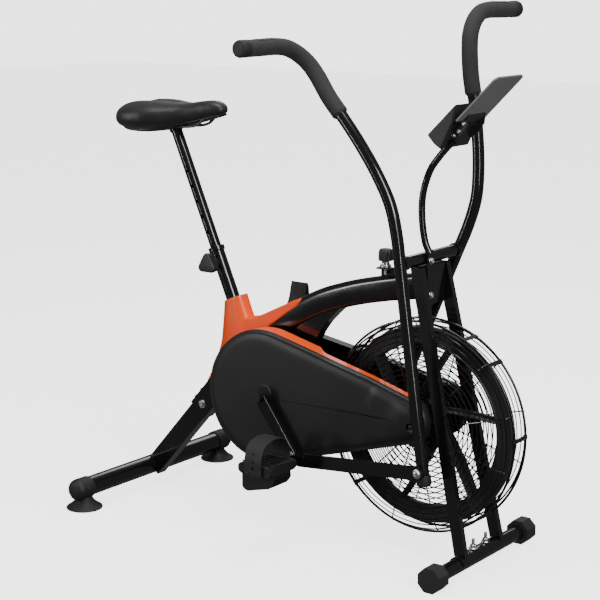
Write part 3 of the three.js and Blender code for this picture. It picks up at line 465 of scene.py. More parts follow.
def main_frame():
    line = catmull([at(x, 0, z) for x, z in MAIN_LINE], 10)
    body = rings_to_mesh(sweep_rings(line, rounded_rectangle(60, 38, 14)))
    tab = prism_mesh([(-122, 632), (-62, 642), (-64, 656), (-74, 668), (-122, 668)], -12, -9)
    shelf = prism_mesh([(-122, 664.5), (-86, 664.5), (-86, 668), (-122, 668)], -34, -9)
    piece("fine_main_tube", *body, "frame_paint", "frame", ("main_tube",))
    piece("tension_bracket", *merge(tab, shelf), "frame_paint", "frame", bevel=0.8)

    low = at(SEAT_LOW[0], 0, SEAT_LOW[1])
    top = SEAT_LENGTH
    profile = [(0, 15), (17.5, 15), (17.5, top - 11.5), (18.2, top - 11), (20, top - 10.4), (20.5, top - 9.6),
               (20.5, top + 0.4), (20, top + 1.2), (15.2, top + 1.2), (14.7, top + 0.6), (14.7, top - 24),
               (0, top - 24)]
    lathe("fine_seat_tube", profile, low, SEAT_AXIS, "frame_paint", "frame", 56, replaces=("seat_tube",),
          sharp=30)

    bolt("fine_rear_leg_side_bolt", leg_point(262, 0, -18.8), -ACROSS, 7.5, 5, "zinc", "frame", washer=11,
         replaces=("rear_leg_side_bolt",))
    up = (leg_point(250, 30, 0) - leg_point(250, 0, 0)).normalized()
    for k, along in enumerate((248, 275)):
        bolt(f"rear_leg_top_bolt_{k + 1}", leg_point(along, 28.6, 0), up, 6, 6, "zinc", "frame", washer=8)
    for k in range(2):
        node = f"console_post_bolt_{k + 1}"
        low_corner, high_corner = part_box(node)
        head = Vector((low_corner.x, (low_corner.y + high_corner.y) / 2, (low_corner.z + high_corner.z) / 2))
        bolt(f"fine_{node}", head, Vector((1, 0, 0)), 7, 4.6, "zinc", "frame", washer=8.4, replaces=(node,))


# ---------------------------------------------------------------- covers
CASE_CIRCLES = ((CRANK.x - FAN.x) / MM - 11, 325, 163), (-131, 335, 88), (0, 334, 54)
LEFT_CIRCLES = CASE_CIRCLES[0], (0, 334, 88)
CASE_FACE = 92
# How far in from the outline, and how far out from the middle, along the case's rolled edge.
CASE_EDGE = ((0, 75), (0.2, 78.5), (1.2, 82), (3.2, 85.2), (6.4, 87.9), (10.6, 90), (16, 91.3), (22, 91.9),
             (30, 92))


def outline_stations(circles, samples=120, between=18):
    """Around the tangent outline of some circles: each station's circle centre, radius and normal."""
    found = []
    for i in range(samples):
        angle = 2 * math.pi * i / samples
        n = (math.cos(angle), math.sin(angle))
        best = max(circles, key=lambda c: c[0] * n[0] + c[1] * n[1] + c[2])
        found.append((*best, *n))
    stations = []
    for i, here in enumerate(found):
        after = found[(i + 1) % samples]
        stations.append(here)
        if here[:3] != after[:3]:
            for k in range(1, between):
                t = k / between
                stations.append(tuple(a * (1 - t) + b * t for a, b in zip(here, after)))
    return stations


STATIONS = outline_stations(CASE_CIRCLES)


def outline_ring(inset, y, stations=STATIONS, lift=None):
    """A ring of points at an inset from the outline."""
    ring = []
    for cx, cz, r, nx, nz in stations:
        reach = r - inset
        x, z = cx + reach * nx, cz + reach * nz
        ring.append(at(x, y + (lift(x, z) if lift else 0), z))
    return ring


def smoothstep(value):
    value = min(1, max(0, value))
    return value * value * (3 - 2 * value)


def boss_height(x, z):
    """The round pad at the fan's axle, with a dome in it and a countersunk screw."""
    away = math.hypot(x, z - 336)
    pad = 3.2 * smoothstep((108 - away) / 9)
    dome = 3.4 * smoothstep((56 - math.hypot(x - 2, z - 336)) / 42)
    recess = 5.5 * smoothstep((9.5 - math.hypot(x - 18, z - 326)) / 3)
    return pad + dome - recess


def carve(target, cutters):
    """Cuts closed meshes out of a piece, and leaves plain mesh behind."""
    for verts, faces in cutters:
        mesh = bpy.data.meshes.new("cutter")
        mesh.from_pydata([tuple(v) for v in verts], [], faces)
        work = bmesh.new()
        work.from_mesh(mesh)
        bmesh.ops.recalc_face_normals(work, faces=work.faces)
        work.to_mesh(mesh)
        work.free()
        cutter = bpy.data.objects.new("cutter", mesh)
        bpy.context.scene.collection.objects.link(cutter)
        cut = target.modifiers.new("cut", "BOOLEAN")
        cut.operation = "DIFFERENCE"
        cut.object = cutter
        apply_modifiers(target)
        bpy.data.objects.remove(cutter)
        bpy.data.meshes.remove(mesh)
    target.data.set_sharp_from_angle(angle=math.radians(35))


def apply_modifiers(target):
    graph = bpy.context.evaluated_depsgraph_get()
    graph.update()
    made = bpy.data.meshes.new_from_object(target.evaluated_get(graph))
    target.modifiers.clear()
    target.data = made


def case_shell(name, sign, stations, inset, open_y, slot, replaces, lift=None):
    """A tray with a rolled edge; its flat face follows rings drawn in towards the circles' centres."""
    def fade(x, z, edge):
        return sign * lift(x, z) * smoothstep(edge / 26) if lift else 0

    rings = [outline_ring(inset + 3, sign * open_y, stations), outline_ring(inset, sign * open_y, stations)]
    for d, y in CASE_EDGE:
        rings.append(outline_ring(inset + d, sign * y, stations, lambda x, z, d=d: fade(x, z, d)))
    deep = inset + CASE_EDGE[-1][0]
    for k in range(1, 25):
        rings.append([
            at(x, sign * CASE_FACE + fade(x, z, 30), z)
            for x, z in (
                (cx + max(0.0, r - deep) * (1 - k / 24) * nx, cz + max(0.0, r - deep) * (1 - k / 24) * nz)
                for cx, cz, r, nx, nz in stations)])
    verts, faces = rings_to_mesh(rings)
    back = outline_ring(inset + 3, sign * (CASE_FACE - 3), stations)
    count = len(stations)
    base_index = len(verts)
    verts += back
    faces = faces[:-2]
    for i in range(count):
        j = (i + 1) % count
        faces.append((i, base_index + i, base_index + j, j))
    faces.append(tuple(base_index + i for i in range(count)))
    shell = piece(name, verts, faces, slot, "frame", replaces, sharp=50)
    hole = bar_mesh(Vector((CRANK.x, sign * 0.03, CRANK.z)), Vector((CRANK.x, sign * 0.13, CRANK.z)), 19, 48)
    carve(shell, [hole])
    lip = [(19, CASE_FACE - 3), (19, CASE_FACE + 0.9), (19.5, CASE_FACE + 1.6), (20.6, CASE_FACE + 1.7),
           (22, CASE_FACE + 1), (22.8, CASE_FACE - 0.6), (22.8, CASE_FACE - 3)]
    piece(f"{name}_crank_ring", *hoop_mesh([(r, sign * y) for r, y in lip], CRANK, 56), slot, "frame")


def back_y(x):
    """How far the orange band reaches inwards from the case: it steps back in front of x = -262."""
    return -36 - 20 * smoothstep((x + 272) / 20)


def cover_band():
    """The orange band behind the case, and its black part round the front end."""
    rings = []
    for inset, deep in ((1, False), (1, True), (4, True), (4, False)):
        ring = []
        for cx, cz, r, nx, nz in STATIONS:
            x, z = cx + (r - inset) * nx, cz + (r - inset) * nz
            ring.append(at(x, back_y(x) if deep else -74.7, z))
        rings.append(ring)
    plate = rings_to_mesh([outline_ring(2, -59), outline_ring(2, -56)])
    verts, faces = rings_to_mesh(rings, closed=True)
    shown, hidden = [], []
    for face in faces:
        x = sum((verts[i].x - FAN.x) / MM for i in face) / 4
        z = sum(verts[i].z / MM for i in face) / 4
        (shown if x < 8 and z > 300 + 0.1 * x else hidden).append(face)
    piece("fine_cover_backing", verts, shown, "orange_plastic", "frame", ("cover_backing_right",), sharp=30)
    piece("cover_backing_front", *merge((verts, hidden), plate), "cover_plastic", "frame", sharp=30)


def covers():
    case_shell("fine_chain_cover", -1, STATIONS, 0, 74.9, "cover_plastic", ("chain_cover_right",), boss_height)
    case_shell("fine_side_cover", 1, outline_stations(LEFT_CIRCLES), 22, 56, "cover_plastic",
               ("side_cover_left",))
    lathe("chain_cover_screw", [(0, 0), (5.6, 0), (6, 0.8), (5, 2), (2.2, 2.4), (2, 1), (0, 1)],
          at(18, -CASE_FACE - 1, 326), -ACROSS, "dark_steel", "frame", 24)
    cover_band()


# Down the shroud: front point, rear point and half-width; the top is open round the seat tube.
SHROUD = (((-538, 549), (-591, 527), 22.5), ((-536, 543), (-592, 521), 23), ((-525, 516), (-595, 490), 24),
          ((-511, 484), (-599, 456), 25), ((-497, 452), (-604, 424), 25), ((-484, 424), (-614, 394), 24.5),
          ((-474, 398), (-627, 364), 23.5), ((-471, 374), (-643, 334), 22.5), ((-478, 352), (-657, 308), 21.5),
          ((-491, 334), (-661, 296), 20.8), ((-505, 324), (-640, 280), 20.4))
FIN = ((-560, 380), (-470, 392), (-446, 440), (-455, 474), (-409, 510), (-357, 547), (-350, 556), (-349, 565),
       (-372, 556), (-421, 532), (-458, 514), (-493, 498), (-530, 492), (-545, 470))


def shroud():
    sides = 44
    rings = []
    for (fx, fz), (rx, rz), half in SHROUD:
        ring = []
        for c, s in circle(sides):
            along = math.copysign(abs(c) ** 0.62, c)
            y = math.copysign(abs(s) ** 0.62, s) * half
            ring.append(at((fx + rx) / 2 + (fx - rx) / 2 * along, y, (fz + rz) / 2 + (fz - rz) / 2 * along))
        rings.append(ring)
    centre = sum(rings[0], Vector()) / sides
    inner = [centre + (point - centre) * 0.88 for point in rings[0]]
    deep = [point - SEAT_AXIS * 0.03 for point in inner]
    lines = [catmull([ring[i] for ring in rings], 5) for i in range(sides)]
    outer = [[line[k] for line in lines] for k in range(len(lines[0]))]
    piece("fine_seat_shroud", *rings_to_mesh([deep, inner] + outer), "orange_plastic", "frame",
          ("seat_shroud",), sharp=40)
    prism("seat_shroud_fin", FIN, -22, 22, "orange_plastic", "frame", bevel=6, segments=5)


# ---------------------------------------------------------------- fan
GUARD_R, GUARD_FACE, GUARD_SPOKES = 248, 47, 12
GUARD_LINE = ((38, GUARD_FACE), (206, GUARD_FACE), (238, 41), (GUARD_R, 25))
CLIP_ANGLES = (2, 44, 63, 141, 223, 311)


def spin(point, angle):
    """A point near the fan's axle, turned about it from forwards towards up."""
    x, y, z = point
    return Vector((FAN.x + (x * math.cos(angle) - z * math.sin(angle)) * MM, y * MM,
                   FAN.z + (x * math.sin(angle) + z * math.cos(angle)) * MM))


def ring_mesh(radius, y, wire, sides=96, around=8):
    rows = []
    for c, s in circle(sides):
        rows.append([Vector((FAN.x + (radius + wire * u) * MM * c, (y + wire * v) * MM,
                             FAN.z + (radius + wire * u) * MM * s)) for u, v in circle(around)])
    return rings_to_mesh(rows, closed=True)


def guard_y(radius):
    for (r0, y0), (r1, y1) in zip(GUARD_LINE, GUARD_LINE[1:]):
        if radius <= r1:
            return y0 + (y1 - y0) * (radius - r0) / (r1 - r0)
    return GUARD_LINE[-1][1]


def guards():
    for side, sign in SIDES:
        parts = [ring_mesh(GUARD_R - 1.2, 24.5 * sign, 3, 120, 10),
                 ring_mesh(237, (guard_y(237) - 2) * sign, 2.2, 120, 8)]
        radius = 52.0
        while radius < 230:
            parts.append(ring_mesh(radius, (guard_y(radius) - 2.4) * sign, 1.5, 96, 6))
            radius += 12.5
        for i in range(GUARD_SPOKES):
            angle = 2 * math.pi * (i + 0.5) / GUARD_SPOKES
            line = [spin((r, y * sign, 0), angle) for r, y in GUARD_LINE]
            parts.append(rings_to_mesh(sweep_rings(catmull(line, 5), round_section(1.5, 8))))
        plate = ((13, 45), (13, 48.6), (15, 49), (30, 49), (40, 48), (45, 46), (45, 45))
        parts.append(hoop_mesh([(r, y * sign) for r, y in plate], FAN, 48))
        piece(f"fine_fan_guard_{side}", *merge(*parts), "frame_paint", "frame", (f"fan_guard_{side}",))
    clips = []
    for degrees in CLIP_ANGLES:
        angle = math.radians(degrees)
        outline = ((GUARD_R - 5.4, -29), (GUARD_R + 1.6, -29), (GUARD_R + 1.6, 29), (GUARD_R - 5.4, 29),
                   (GUARD_R - 5.4, 20), (GUARD_R - 1.4, 18), (GUARD_R - 1.4, -18), (GUARD_R - 5.4, -20))
        clips.append(rings_to_mesh([[spin((r, y, w), angle) for r, y in outline] for w in (-5, 5)]))
    piece("fan_guard_clips", *merge(*clips), "cover_plastic", "frame", bevel=0.6)
    for side, sign in SIDES:
        bolt(f"fan_axle_nut_{side}", Vector((FAN.x, sign * 49 * MM, FAN.z)), ACROSS * sign, 9, 5, "dark_steel",
             "frame", washer=11, recess=False)


VANE_ROOT, VANE_TIP, VANE_HALF = (31, 43), (193, 40.5), 24


def fan():
    rim = [(190, -6), (191, -8), (193, -8), (195, -5), (210, -4.4), (226, -5), (228, -8), (231, -8), (232, -6)]
    hub = [(7, -16), (20, -16), (22, -14), (24, -12), (34, -12), (36, -14), (54, -14), (58, -13), (60, -10)]
    rim, hub = (hoop_mesh(half + [(r, -y) for r, y in reversed(half)], FAN, sides)
                for half, sides in ((rim, 120), (hub, 72)))
    sleeve = hoop_mesh([(7, -54), (13, -54), (13, -12), (7, -12)], FAN, 36)
    parts = [rim, hub, sleeve]
    steps = 14
    for i in range(6):
        angle = -math.radians(60 * i)
        rows = []
        for k in range(steps + 1):
            t = k / steps
            x = VANE_ROOT[0] + (VANE_TIP[0] - VANE_ROOT[0]) * t
            z = VANE_ROOT[1] + (VANE_TIP[1] - VANE_ROOT[1]) * t + 3 * math.sin(math.pi * t)
            half = VANE_HALF - 1.5 * (1 - math.sin(math.pi * min(1, t * 1.3)))
            rows.append([spin((x, y, z + h), angle) for y, h in
                         ((-half, -1.1), (-half + 0.6, -1.5), (half - 0.6, -1.5), (half, -1.1), (half, 1.1),
                          (half - 0.6, 1.5), (-half + 0.6, 1.5), (-half, 1.1))])
        parts.append(rings_to_mesh(rows))
        rib = [[spin((x, y, z + h), angle) for y, h in ((-1.2, 0), (1.2, 0), (1.2, 6), (-1.2, 6))]
               for x, z in ((VANE_ROOT[0] + 26, 44.5), (110, 46), (VANE_TIP[0] - 2, 42))]
        parts.append(rings_to_mesh(rib))
    piece("fine_fan_wheel", *merge(*parts), "cover_plastic", "fan_rotor", ("fan_wheel",), look="fan_plastic")


# ---------------------------------------------------------------- pedals, links and levers
def pin_at(side):
    return Vector(JOINTS[f"pedal_{side}_spin"]["pos_m"])


CRANK_Y, CRANK_THICK, LINK_Y = 110, 14, 143


def crank_arms():
    """Slender arms with rounded edges, and a plated pin at each tip."""
    for side, sign in SIDES:
        pin = pin_at(side)
        reach = Vector((pin.x - CRANK.x, 0, pin.z - CRANK.z))
        length = reach.length / MM
        along = reach.normalized()
        over = Vector((-along.z, 0, along.x))
        outline = [(17 * math.cos(math.radians(a)), 17 * math.sin(math.radians(a))) for a in range(84, 277, 8)]
        outline += [(length + 13 * math.cos(math.radians(a)), 13 * math.sin(math.radians(a)))
                    for a in range(-84, 85, 8)]
        rows = []
        for y in (CRANK_Y - CRANK_THICK / 2, CRANK_Y + CRANK_THICK / 2):
            middle_point = Vector((CRANK.x, sign * y * MM, CRANK.z))
            rows.append([middle_point + along * (s * MM) + over * (t * MM) for s, t in outline])
        piece(f"fine_crank_arm_{side}", *rings_to_mesh(rows), "frame_paint", "crankset", (f"crank_arm_{side}",),
              bevel=2.8, segments=4)
        face = CRANK_Y + CRANK_THICK / 2
        lathe(f"crank_pin_{side}", [(0, face - 1), (9.6, face - 1), (9.6, face + 1), (9, face + 1.6),
                                    (9, LINK_Y - 3.8), (6, LINK_Y - 3.6), (6, LINK_Y + 20), (0, LINK_Y + 20)],
              Vector((pin.x, 0, pin.z)), ACROSS * sign, "zinc", "crankset", 36, sharp=30)


def pedals():
    for side, sign in SIDES:
        pin = pin_at(side)
        low_corner, high_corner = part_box(f"pedal_{side}")
        y_in, y_out = (low_corner.y, high_corner.y) if sign > 0 else (high_corner.y, low_corner.y)
        body = f"pedal_unit_{side}"

        def slab_at(outline, a, b):
            return rings_to_mesh([
                [Vector((pin.x + x * MM, y_in + sign * y * MM, pin.z + z * MM)) for x, z in outline]
                for y in (a, b)])

        width = abs(y_out - y_in) / MM
        frame_outline = [(-48, -7), (-44, -12), (-38, -15), (38, -15), (44, -12), (48, -7), (48, 4), (44, 9),
                         (38, 11), (-38, 11), (-44, 9), (-48, 4)]
        parts = [slab_at(frame_outline, 0, 9), slab_at(frame_outline, width - 9, width)]
        for x, z in ((-42, -3), (42, -3)):
            post = [(x - 6, z - 9), (x + 6, z - 9), (x + 6, z + 10), (x - 6, z + 10)]
            parts.append(slab_at(post, 8, width - 8))
        parts.append(slab_at([(11 * c, 11 * s - 1) for c, s in circle(20)], 8, width - 8))
        for x in (-27, -15, 15, 27):
            parts.append(slab_at([(x - 2, -13), (x + 2, -13), (x + 2, 10), (x - 2, 10)], 8, width - 8))
        for y in (30, 50, 70):
            parts.append(slab_at([(-40, -12), (40, -12), (40, 8.6), (-40, 8.6)], y - 1.5, y + 1.5))
        keel = [(-46, -50), (-42, -56), (-34, -59.5), (-28, -60), (34, -44), (44, -33), (48, -24), (46, -10),
                (-46, -10)]
        parts.append(slab_at(keel, 21, 24))
        parts.append(slab_at(keel, width - 15, width - 12))
        inner = [(-43, -48), (-32, -57), (-28, -57.5), (33, -42), (45, -23), (43, -10), (-43, -10)]
        parts.append(slab_at(inner, 22, width - 13))
        for y in range(32, int(width) - 20, 9):
            parts.append(slab_at(keel, y - 1, y + 1))
        piece(f"fine_pedal_{side}", *merge(*parts), "cover_plastic", body, (f"pedal_{side}",), bevel=0.7,
              sharp=30)
        grips = []
        for x in (-42, 42):
            for y in range(14, int(width) - 10, 8):
                grips.append(slab_at([(x - 4, 10), (x + 4, 10), (x + 3, 12), (x - 3, 12)], y - 2, y + 2))
        piece(f"pedal_tread_{side}", *merge(*grips), "rubber", body)
        strap(side, sign, pin, y_in, y_out, body)


STRAP_ARCH = {
    "right": ((-1, -0.24), (-1, 0), (-0.97, 0.42), (-0.72, 0.84), (0, 1), (0.72, 0.84), (0.97, 0.42), (1, 0),
              (1, -0.24)),
    "left": ((-1, -0.24), (-1, 0.2), (-0.64, 0.6), (-0.46, 1.1), (-0.37, 1.3), (-0.27, 1.16), (-0.18, 0.75),
             (0.15, 0.42), (0.7, 0.38), (1, 0.18), (1, -0.24)),
}


def uniform_spline(points, steps):
    """The plain Catmull-Rom line that the frame's straps follow."""
    line = []
    for i in range(len(points) - 1):
        p = [points[max(i - 1, 0)], points[i], points[i + 1], points[min(i + 2, len(points) - 1)]]
        for k in range(steps):
            t = k / steps
            line.append(tuple(
                (2 * b + (c - a) * t + (2 * a - 5 * b + 4 * c - d) * t * t + (3 * b - a - 3 * c + d) * t**3) / 2
                for a, b, c, d in zip(*p)))
    line.append(tuple(points[-1]))
    return line


def strap(side, sign, pin, y_in, y_out, body):
    centre, half = (y_in + y_out) / 2, abs(y_out - y_in) / 2 + 4.5 * MM
    arch = uniform_spline([(across_, up) for across_, up in STRAP_ARCH[side]], 7)
    path = [Vector((pin.x, centre + sign * u * half, pin.z + v * 66 * MM)) for u, v in arch]
    rings = []
    for i, point in enumerate(path):
        tangent = (path[min(i + 1, len(path) - 1)] - path[max(i - 1, 0)]).normalized()
        normal = Vector((0, -tangent.z, tangent.y))
        width = 24.6
        rings.append([point + Vector((x * MM, 0, 0)) + normal * (h * MM) for x, h in
                      ((-width, -0.9), (-width + 0.6, -1.4), (width - 0.6, -1.4), (width, -0.9), (width, 0.9),
                       (width - 0.6, 1.4), (width - 3, 1.4), (width - 3.6, 0.8), (-width + 3.6, 0.8),
                       (-width + 3, 1.4), (-width + 0.6, 1.4), (-width, 0.9))])
    made = piece(f"fine_pedal_strap_{side}", *rings_to_mesh(rings), "rubber", body, (f"pedal_strap_{side}",))
    holes = []
    for row in range(3):
        point = path[len(path) - 17 + row * 4]
        step = (path[len(path) - 16 + row * 4] - point).normalized()
        normal = Vector((0, -step.z, step.y))
        holes.append(bar_mesh(point - normal * 0.006, point + normal * 0.006, 3.4, 20))
    carve(made, [merge(*holes)])
    buckles = []
    for edge in (-1, 1):
        y = centre + edge * (half - 0.1 * MM)
        low_z = pin.z - 15.5 * MM
        for x in (-17, 17):
            buckles.append(box_mesh(Vector((pin.x + (x - 5) * MM, y - 3 * MM, low_z)),
                                    Vector((pin.x + (x + 5) * MM, y + 3 * MM, low_z + 8 * MM))))
    piece(f"pedal_strap_hooks_{side}", *merge(*buckles), "cover_plastic", body, bevel=1)


def box_mesh(low, high):
    outline = ((low.x, low.z), (high.x, low.z), (high.x, high.z), (low.x, high.z))
    return rings_to_mesh([[Vector((x, y, z)) for x, z in outline] for y in (low.y, high.y)])


LEVER_Y, LEVER_TAIL, LEVER_BEND, LEVER_HALF_SPAN = 122, 492, 80, 340
LEVER_LINE = ((0, 60), (-8, 130), (-33, 198), (-65, 261), (-101, 321), (-140, 380), (-167, 432))


def lever_path(side, sign):
    """The lever's centreline, and the function that puts a point of its own frame into the row frame."""
    reach = middle(f"link_bolt_{side}") - PIVOT
    angle = math.atan2(reach.x, -reach.z)

    def place(x, y, z):
        return Vector((PIVOT.x + (x * math.cos(angle) - z * math.sin(angle)) * MM, (sign * LEVER_Y + y) * MM,
                       PIVOT.z + (x * math.sin(angle) + z * math.cos(angle)) * MM))

    points = [(0, 0, -LEVER_TAIL), (0, 0, -320), (0, 0, -150), (0, 0, 0)] + [(x, 0, z) for x, z in LEVER_LINE]
    (x0, z0), (x1, z1) = LEVER_LINE[-2:]
    length = math.hypot(x1 - x0, z1 - z0)
    hx, hz = (x1 - x0) / length, (z1 - z0) / length
    for step in range(1, 5):
        turn = math.pi / 2 * step / 4
        along, out = LEVER_BEND * math.sin(turn), LEVER_BEND * (1 - math.cos(turn))
        points.append((x1 + hx * along, sign * out, z1 + hz * along))
    cx, cy, cz = points[-1]
    last = LEVER_HALF_SPAN - LEVER_Y - LEVER_BEND
    points += [(cx, cy + sign * last * 0.5, cz), (cx, cy + sign * last, cz)]
    return catmull([place(*p) for p in points], 14), place


def stretch(line, start, end):
    """The part of a line between two fractions of its length."""
    lengths = [0.0]
    for a, b in zip(line, line[1:]):
        lengths.append(lengths[-1] + (b - a).length)
    low, high = start * lengths[-1], end * lengths[-1]
    found = []
    for i in range(len(line) - 1):
        for target in (low, high):
            if lengths[i] <= target < lengths[i + 1]:
                t = (target - lengths[i]) / (lengths[i + 1] - lengths[i])
                found.append((target, line[i].lerp(line[i + 1], t)))
        if low < lengths[i + 1] < high:
            found.append((lengths[i + 1], line[i + 1]))
    if end >= 1:
        found.append((lengths[-1], line[-1]))
    return [point for _, point in sorted(found, key=lambda item: item[0])]


def levers():
    for side, sign in SIDES:
        line, place = lever_path(side, sign)
        body = f"lever_unit_{side}"
        arm = rings_to_mesh(sweep_rings(stretch(line, 0, 0.995), round_section(14, 32), up=Vector((1, 0, 0))))
        boss = bar_mesh(place(0, -sign * 21, 0), place(0, -sign * 5, 0), 17, 40)
        piece(f"fine_lever_{side}", *merge(arm, boss), "frame_paint", body, (f"lever_{side}",))

        foam_line = stretch(line, 0.70, 0.978)
        count = len(foam_line)
        radius = [18.9] * count
        radius[0], radius[-1] = 18.2, 18.6
        foam_rings = sweep_rings(foam_line, round_section(1, 40), radius, Vector((1, 0, 0)))
        foam = piece(f"fine_grip_{side}", *rings_to_mesh(foam_rings), "grip_foam", body, (f"grip_{side}",),
                     sharp=60)
        tip = line[-1]
        start = foam_line[-1]
        reach = (tip - start).length / MM
        profile = [(0, -1), (19.1, -1), (19.4, 0), (19.4, 2.6), (18.9, 3.2), (18.9, 4), (19.4, 4.6),
                   (19.4, reach - 5), (18.6, reach - 2.4), (16.4, reach - 0.7), (13, reach), (0, reach)]
        lathe(f"grip_end_{side}", profile, start, (tip - start).normalized(), "rubber", body, 40, sharp=30)
        ring = stretch(line, 0.697, 0.7)
        tube(f"grip_collar_{side}", ring, 15.4, "rubber", body, 32)
        strip_line = stretch(line, 0.905, 0.955)
        rows = []
        for point in strip_line:
            rows.append([point + Vector((math.sin(a) * r * MM, 0, math.cos(a) * r * MM)) for a, r in
                         [(math.radians(d), 19.6) for d in range(-32, 33, 8)]
                         + [(math.radians(d), 17.5) for d in range(32, -33, -8)]])
        piece(f"grip_strip_{side}", *rings_to_mesh(rows), "rubber", body, bevel=0.4)

        down = (place(0, 0, -LEVER_TAIL) - place(0, 0, 0)).normalized()
        profile = [(0, -16), (16.4, -16), (17, -15.2), (17, -12.6), (16.4, -12), (16.4, -11), (17, -10.4),
                   (17, 3), (16, 6), (13.4, 8.4), (10, 9), (0, 9)]
        lathe(f"fine_lever_end_cap_{side}", profile, place(0, 0, -LEVER_TAIL), down, "rubber", body, 40,
              replaces=(f"lever_end_cap_{side}",), sharp=30)
        low_corner, high_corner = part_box(f"link_bolt_{side}")
        centre = middle(f"link_bolt_{side}")
        outer = low_corner.y if sign < 0 else high_corner.y
        head = Vector((centre.x, outer - sign * 7 * MM, centre.z))
        profile = [(0, 0), (10, 0), (10.6, 0.5), (10.6, 1.6), (9.4, 2), (9, 3.2), (7.8, 5.2), (5.6, 6.6),
                   (3.2, 7), (2.8, 5.4), (0, 5.4)]
        lathe(f"fine_link_bolt_{side}", profile, head, ACROSS * sign, "zinc", NODE_BODY[f"link_bolt_{side}"], 40,
              replaces=(f"link_bolt_{side}",), sharp=32)


# ---------------------------------------------------------------- seat
SADDLE = ((-896, 44, 956, 986), (-886, 84, 944, 1001), (-862, 102, 938, 1011), (-820, 105, 936, 1014),
          (-780, 96, 940, 1013), (-740, 74, 948, 1012), (-700, 52, 958, 1014), (-660, 39, 968, 1021),
          (-624, 31, 978, 1024), (-602, 24, 984, 1018), (-591, 13, 990, 1008))
SWELL = 5 * MM


def saddle_rings(shrink):
    """Sections of the saddle, drawn in by some millimetres so that the cloth can swell out again."""
    stations = catmull([Vector((x, half, low + (high - low) / 2)) for x, half, low, high in SADDLE], 4)
    heights = catmull([Vector((x, (high - low) / 2, 0)) for x, _, low, high in SADDLE], 4)
    rings = []
    for station, height in zip(stations, heights):
        x, half, centre = station.x, max(4, station.y - shrink), station.z
        rise = max(3, height.y - shrink * 0.7)
        ring = []
        for c, s in circle(40):
            y = half * math.copysign(abs(c) ** 0.72, c)
            z = centre + rise * math.copysign(abs(s) ** 0.8, s)
            if s > 0:
                wide = smoothstep((half - 45) / 45)
                z -= 7 * wide * math.exp(-(y / (half * 0.26)) ** 2)
                z += 3 * wide * math.exp(-((abs(y) - half * 0.55) / (half * 0.25)) ** 2)
            ring.append(at(x, y, z))
        rings.append(ring)
    return rings


def swell(target, limit):
    """Inflates a pad as cloth, keeps its underside where it rests, and caps how far a point moves."""
    group = target.vertex_groups.new(name="held")
    held = [v.index for v in target.data.vertices if v.normal.z < -0.35]
    group.add(held, 1.0, "REPLACE")
    cloth = target.modifiers.new("cloth", "CLOTH")
    cloth.settings.quality = 6
    cloth.settings.use_pressure = True
    cloth.settings.uniform_pressure_force = 4
    cloth.settings.effector_weights.gravity = 0
    cloth.settings.vertex_group_mass = "held"
    cloth.settings.tension_stiffness = 20
    cloth.settings.compression_stiffness = 20
    cloth.settings.bending_stiffness = 3
    scene = bpy.context.scene
    for number in range(1, 21):
        scene.frame_set(number)
    graph = bpy.context.evaluated_depsgraph_get()
    moved = target.evaluated_get(graph).to_mesh()
    positions = [v.co.copy() for v in moved.vertices]
    target.evaluated_get(graph).to_mesh_clear()
    target.modifiers.clear()
    target.vertex_groups.clear()
    scene.frame_set(1)
    for vertex, new in zip(target.data.vertices, positions):
        step = new - vertex.co
        if step.length > limit:
            step *= limit / step.length
        vertex.co += step


def saddle():
    pad = piece("fine_saddle", *rings_to_mesh(saddle_rings(4)), "saddle_vinyl", "seat_unit", ("saddle",),
                sharp=180)
    pad.parent = None
    remesh = pad.modifiers.new("remesh", "REMESH")
    remesh.mode = "VOXEL"
    remesh.voxel_size = 5 * MM
    apply_modifiers(pad)
    swell(pad, SWELL)
    smooth = pad.modifiers.new("smooth", "SMOOTH")
    smooth.factor = 0.6
    smooth.iterations = 6
    finer = pad.modifiers.new("finer", "SUBSURF")
    finer.levels = 1
    finer.render_levels = 1
    apply_modifiers(pad)
    low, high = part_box("saddle")
    for vertex in pad.data.vertices:
        co = vertex.co
        co.x = min(max(co.x, low.x - 2 * MM), high.x + 2 * MM)
        co.z = max(co.z, low.z)
    pad.data.shade_smooth()
    pad.data.materials.clear()
    pad.data.materials.append(LOOKS["saddle_vinyl"])
    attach(pad, "seat_unit")
    pan = []
    for x, half, low_z, high_z in SADDLE[1:-1]:
        pan.append([at(x, half * 0.66 * math.copysign(abs(c) ** 0.8, c),
                       low_z + (high_z - low_z) * 0.2 * (0.5 + 0.5 * math.copysign(abs(s) ** 0.7, s)) - 0.5)
                    for c, s in circle(40)])
    lines = [catmull(row, 4) for row in zip(*pan)]
    piece("saddle_pan", *rings_to_mesh([list(ring) for ring in zip(*lines)]), "cover_plastic", "seat_unit")


POST_R, POST_BURIED, POST_LENGTH, POST_PITCH, POST_HOLES, PIN_PLACE = 14, 150, 469, 40, 8, 0.872
RAIL_LINE = ((-812, 966), (-800, 958), (-782, 953), (-735, 953), (-690, 955), (-664, 962), (-646, 976))


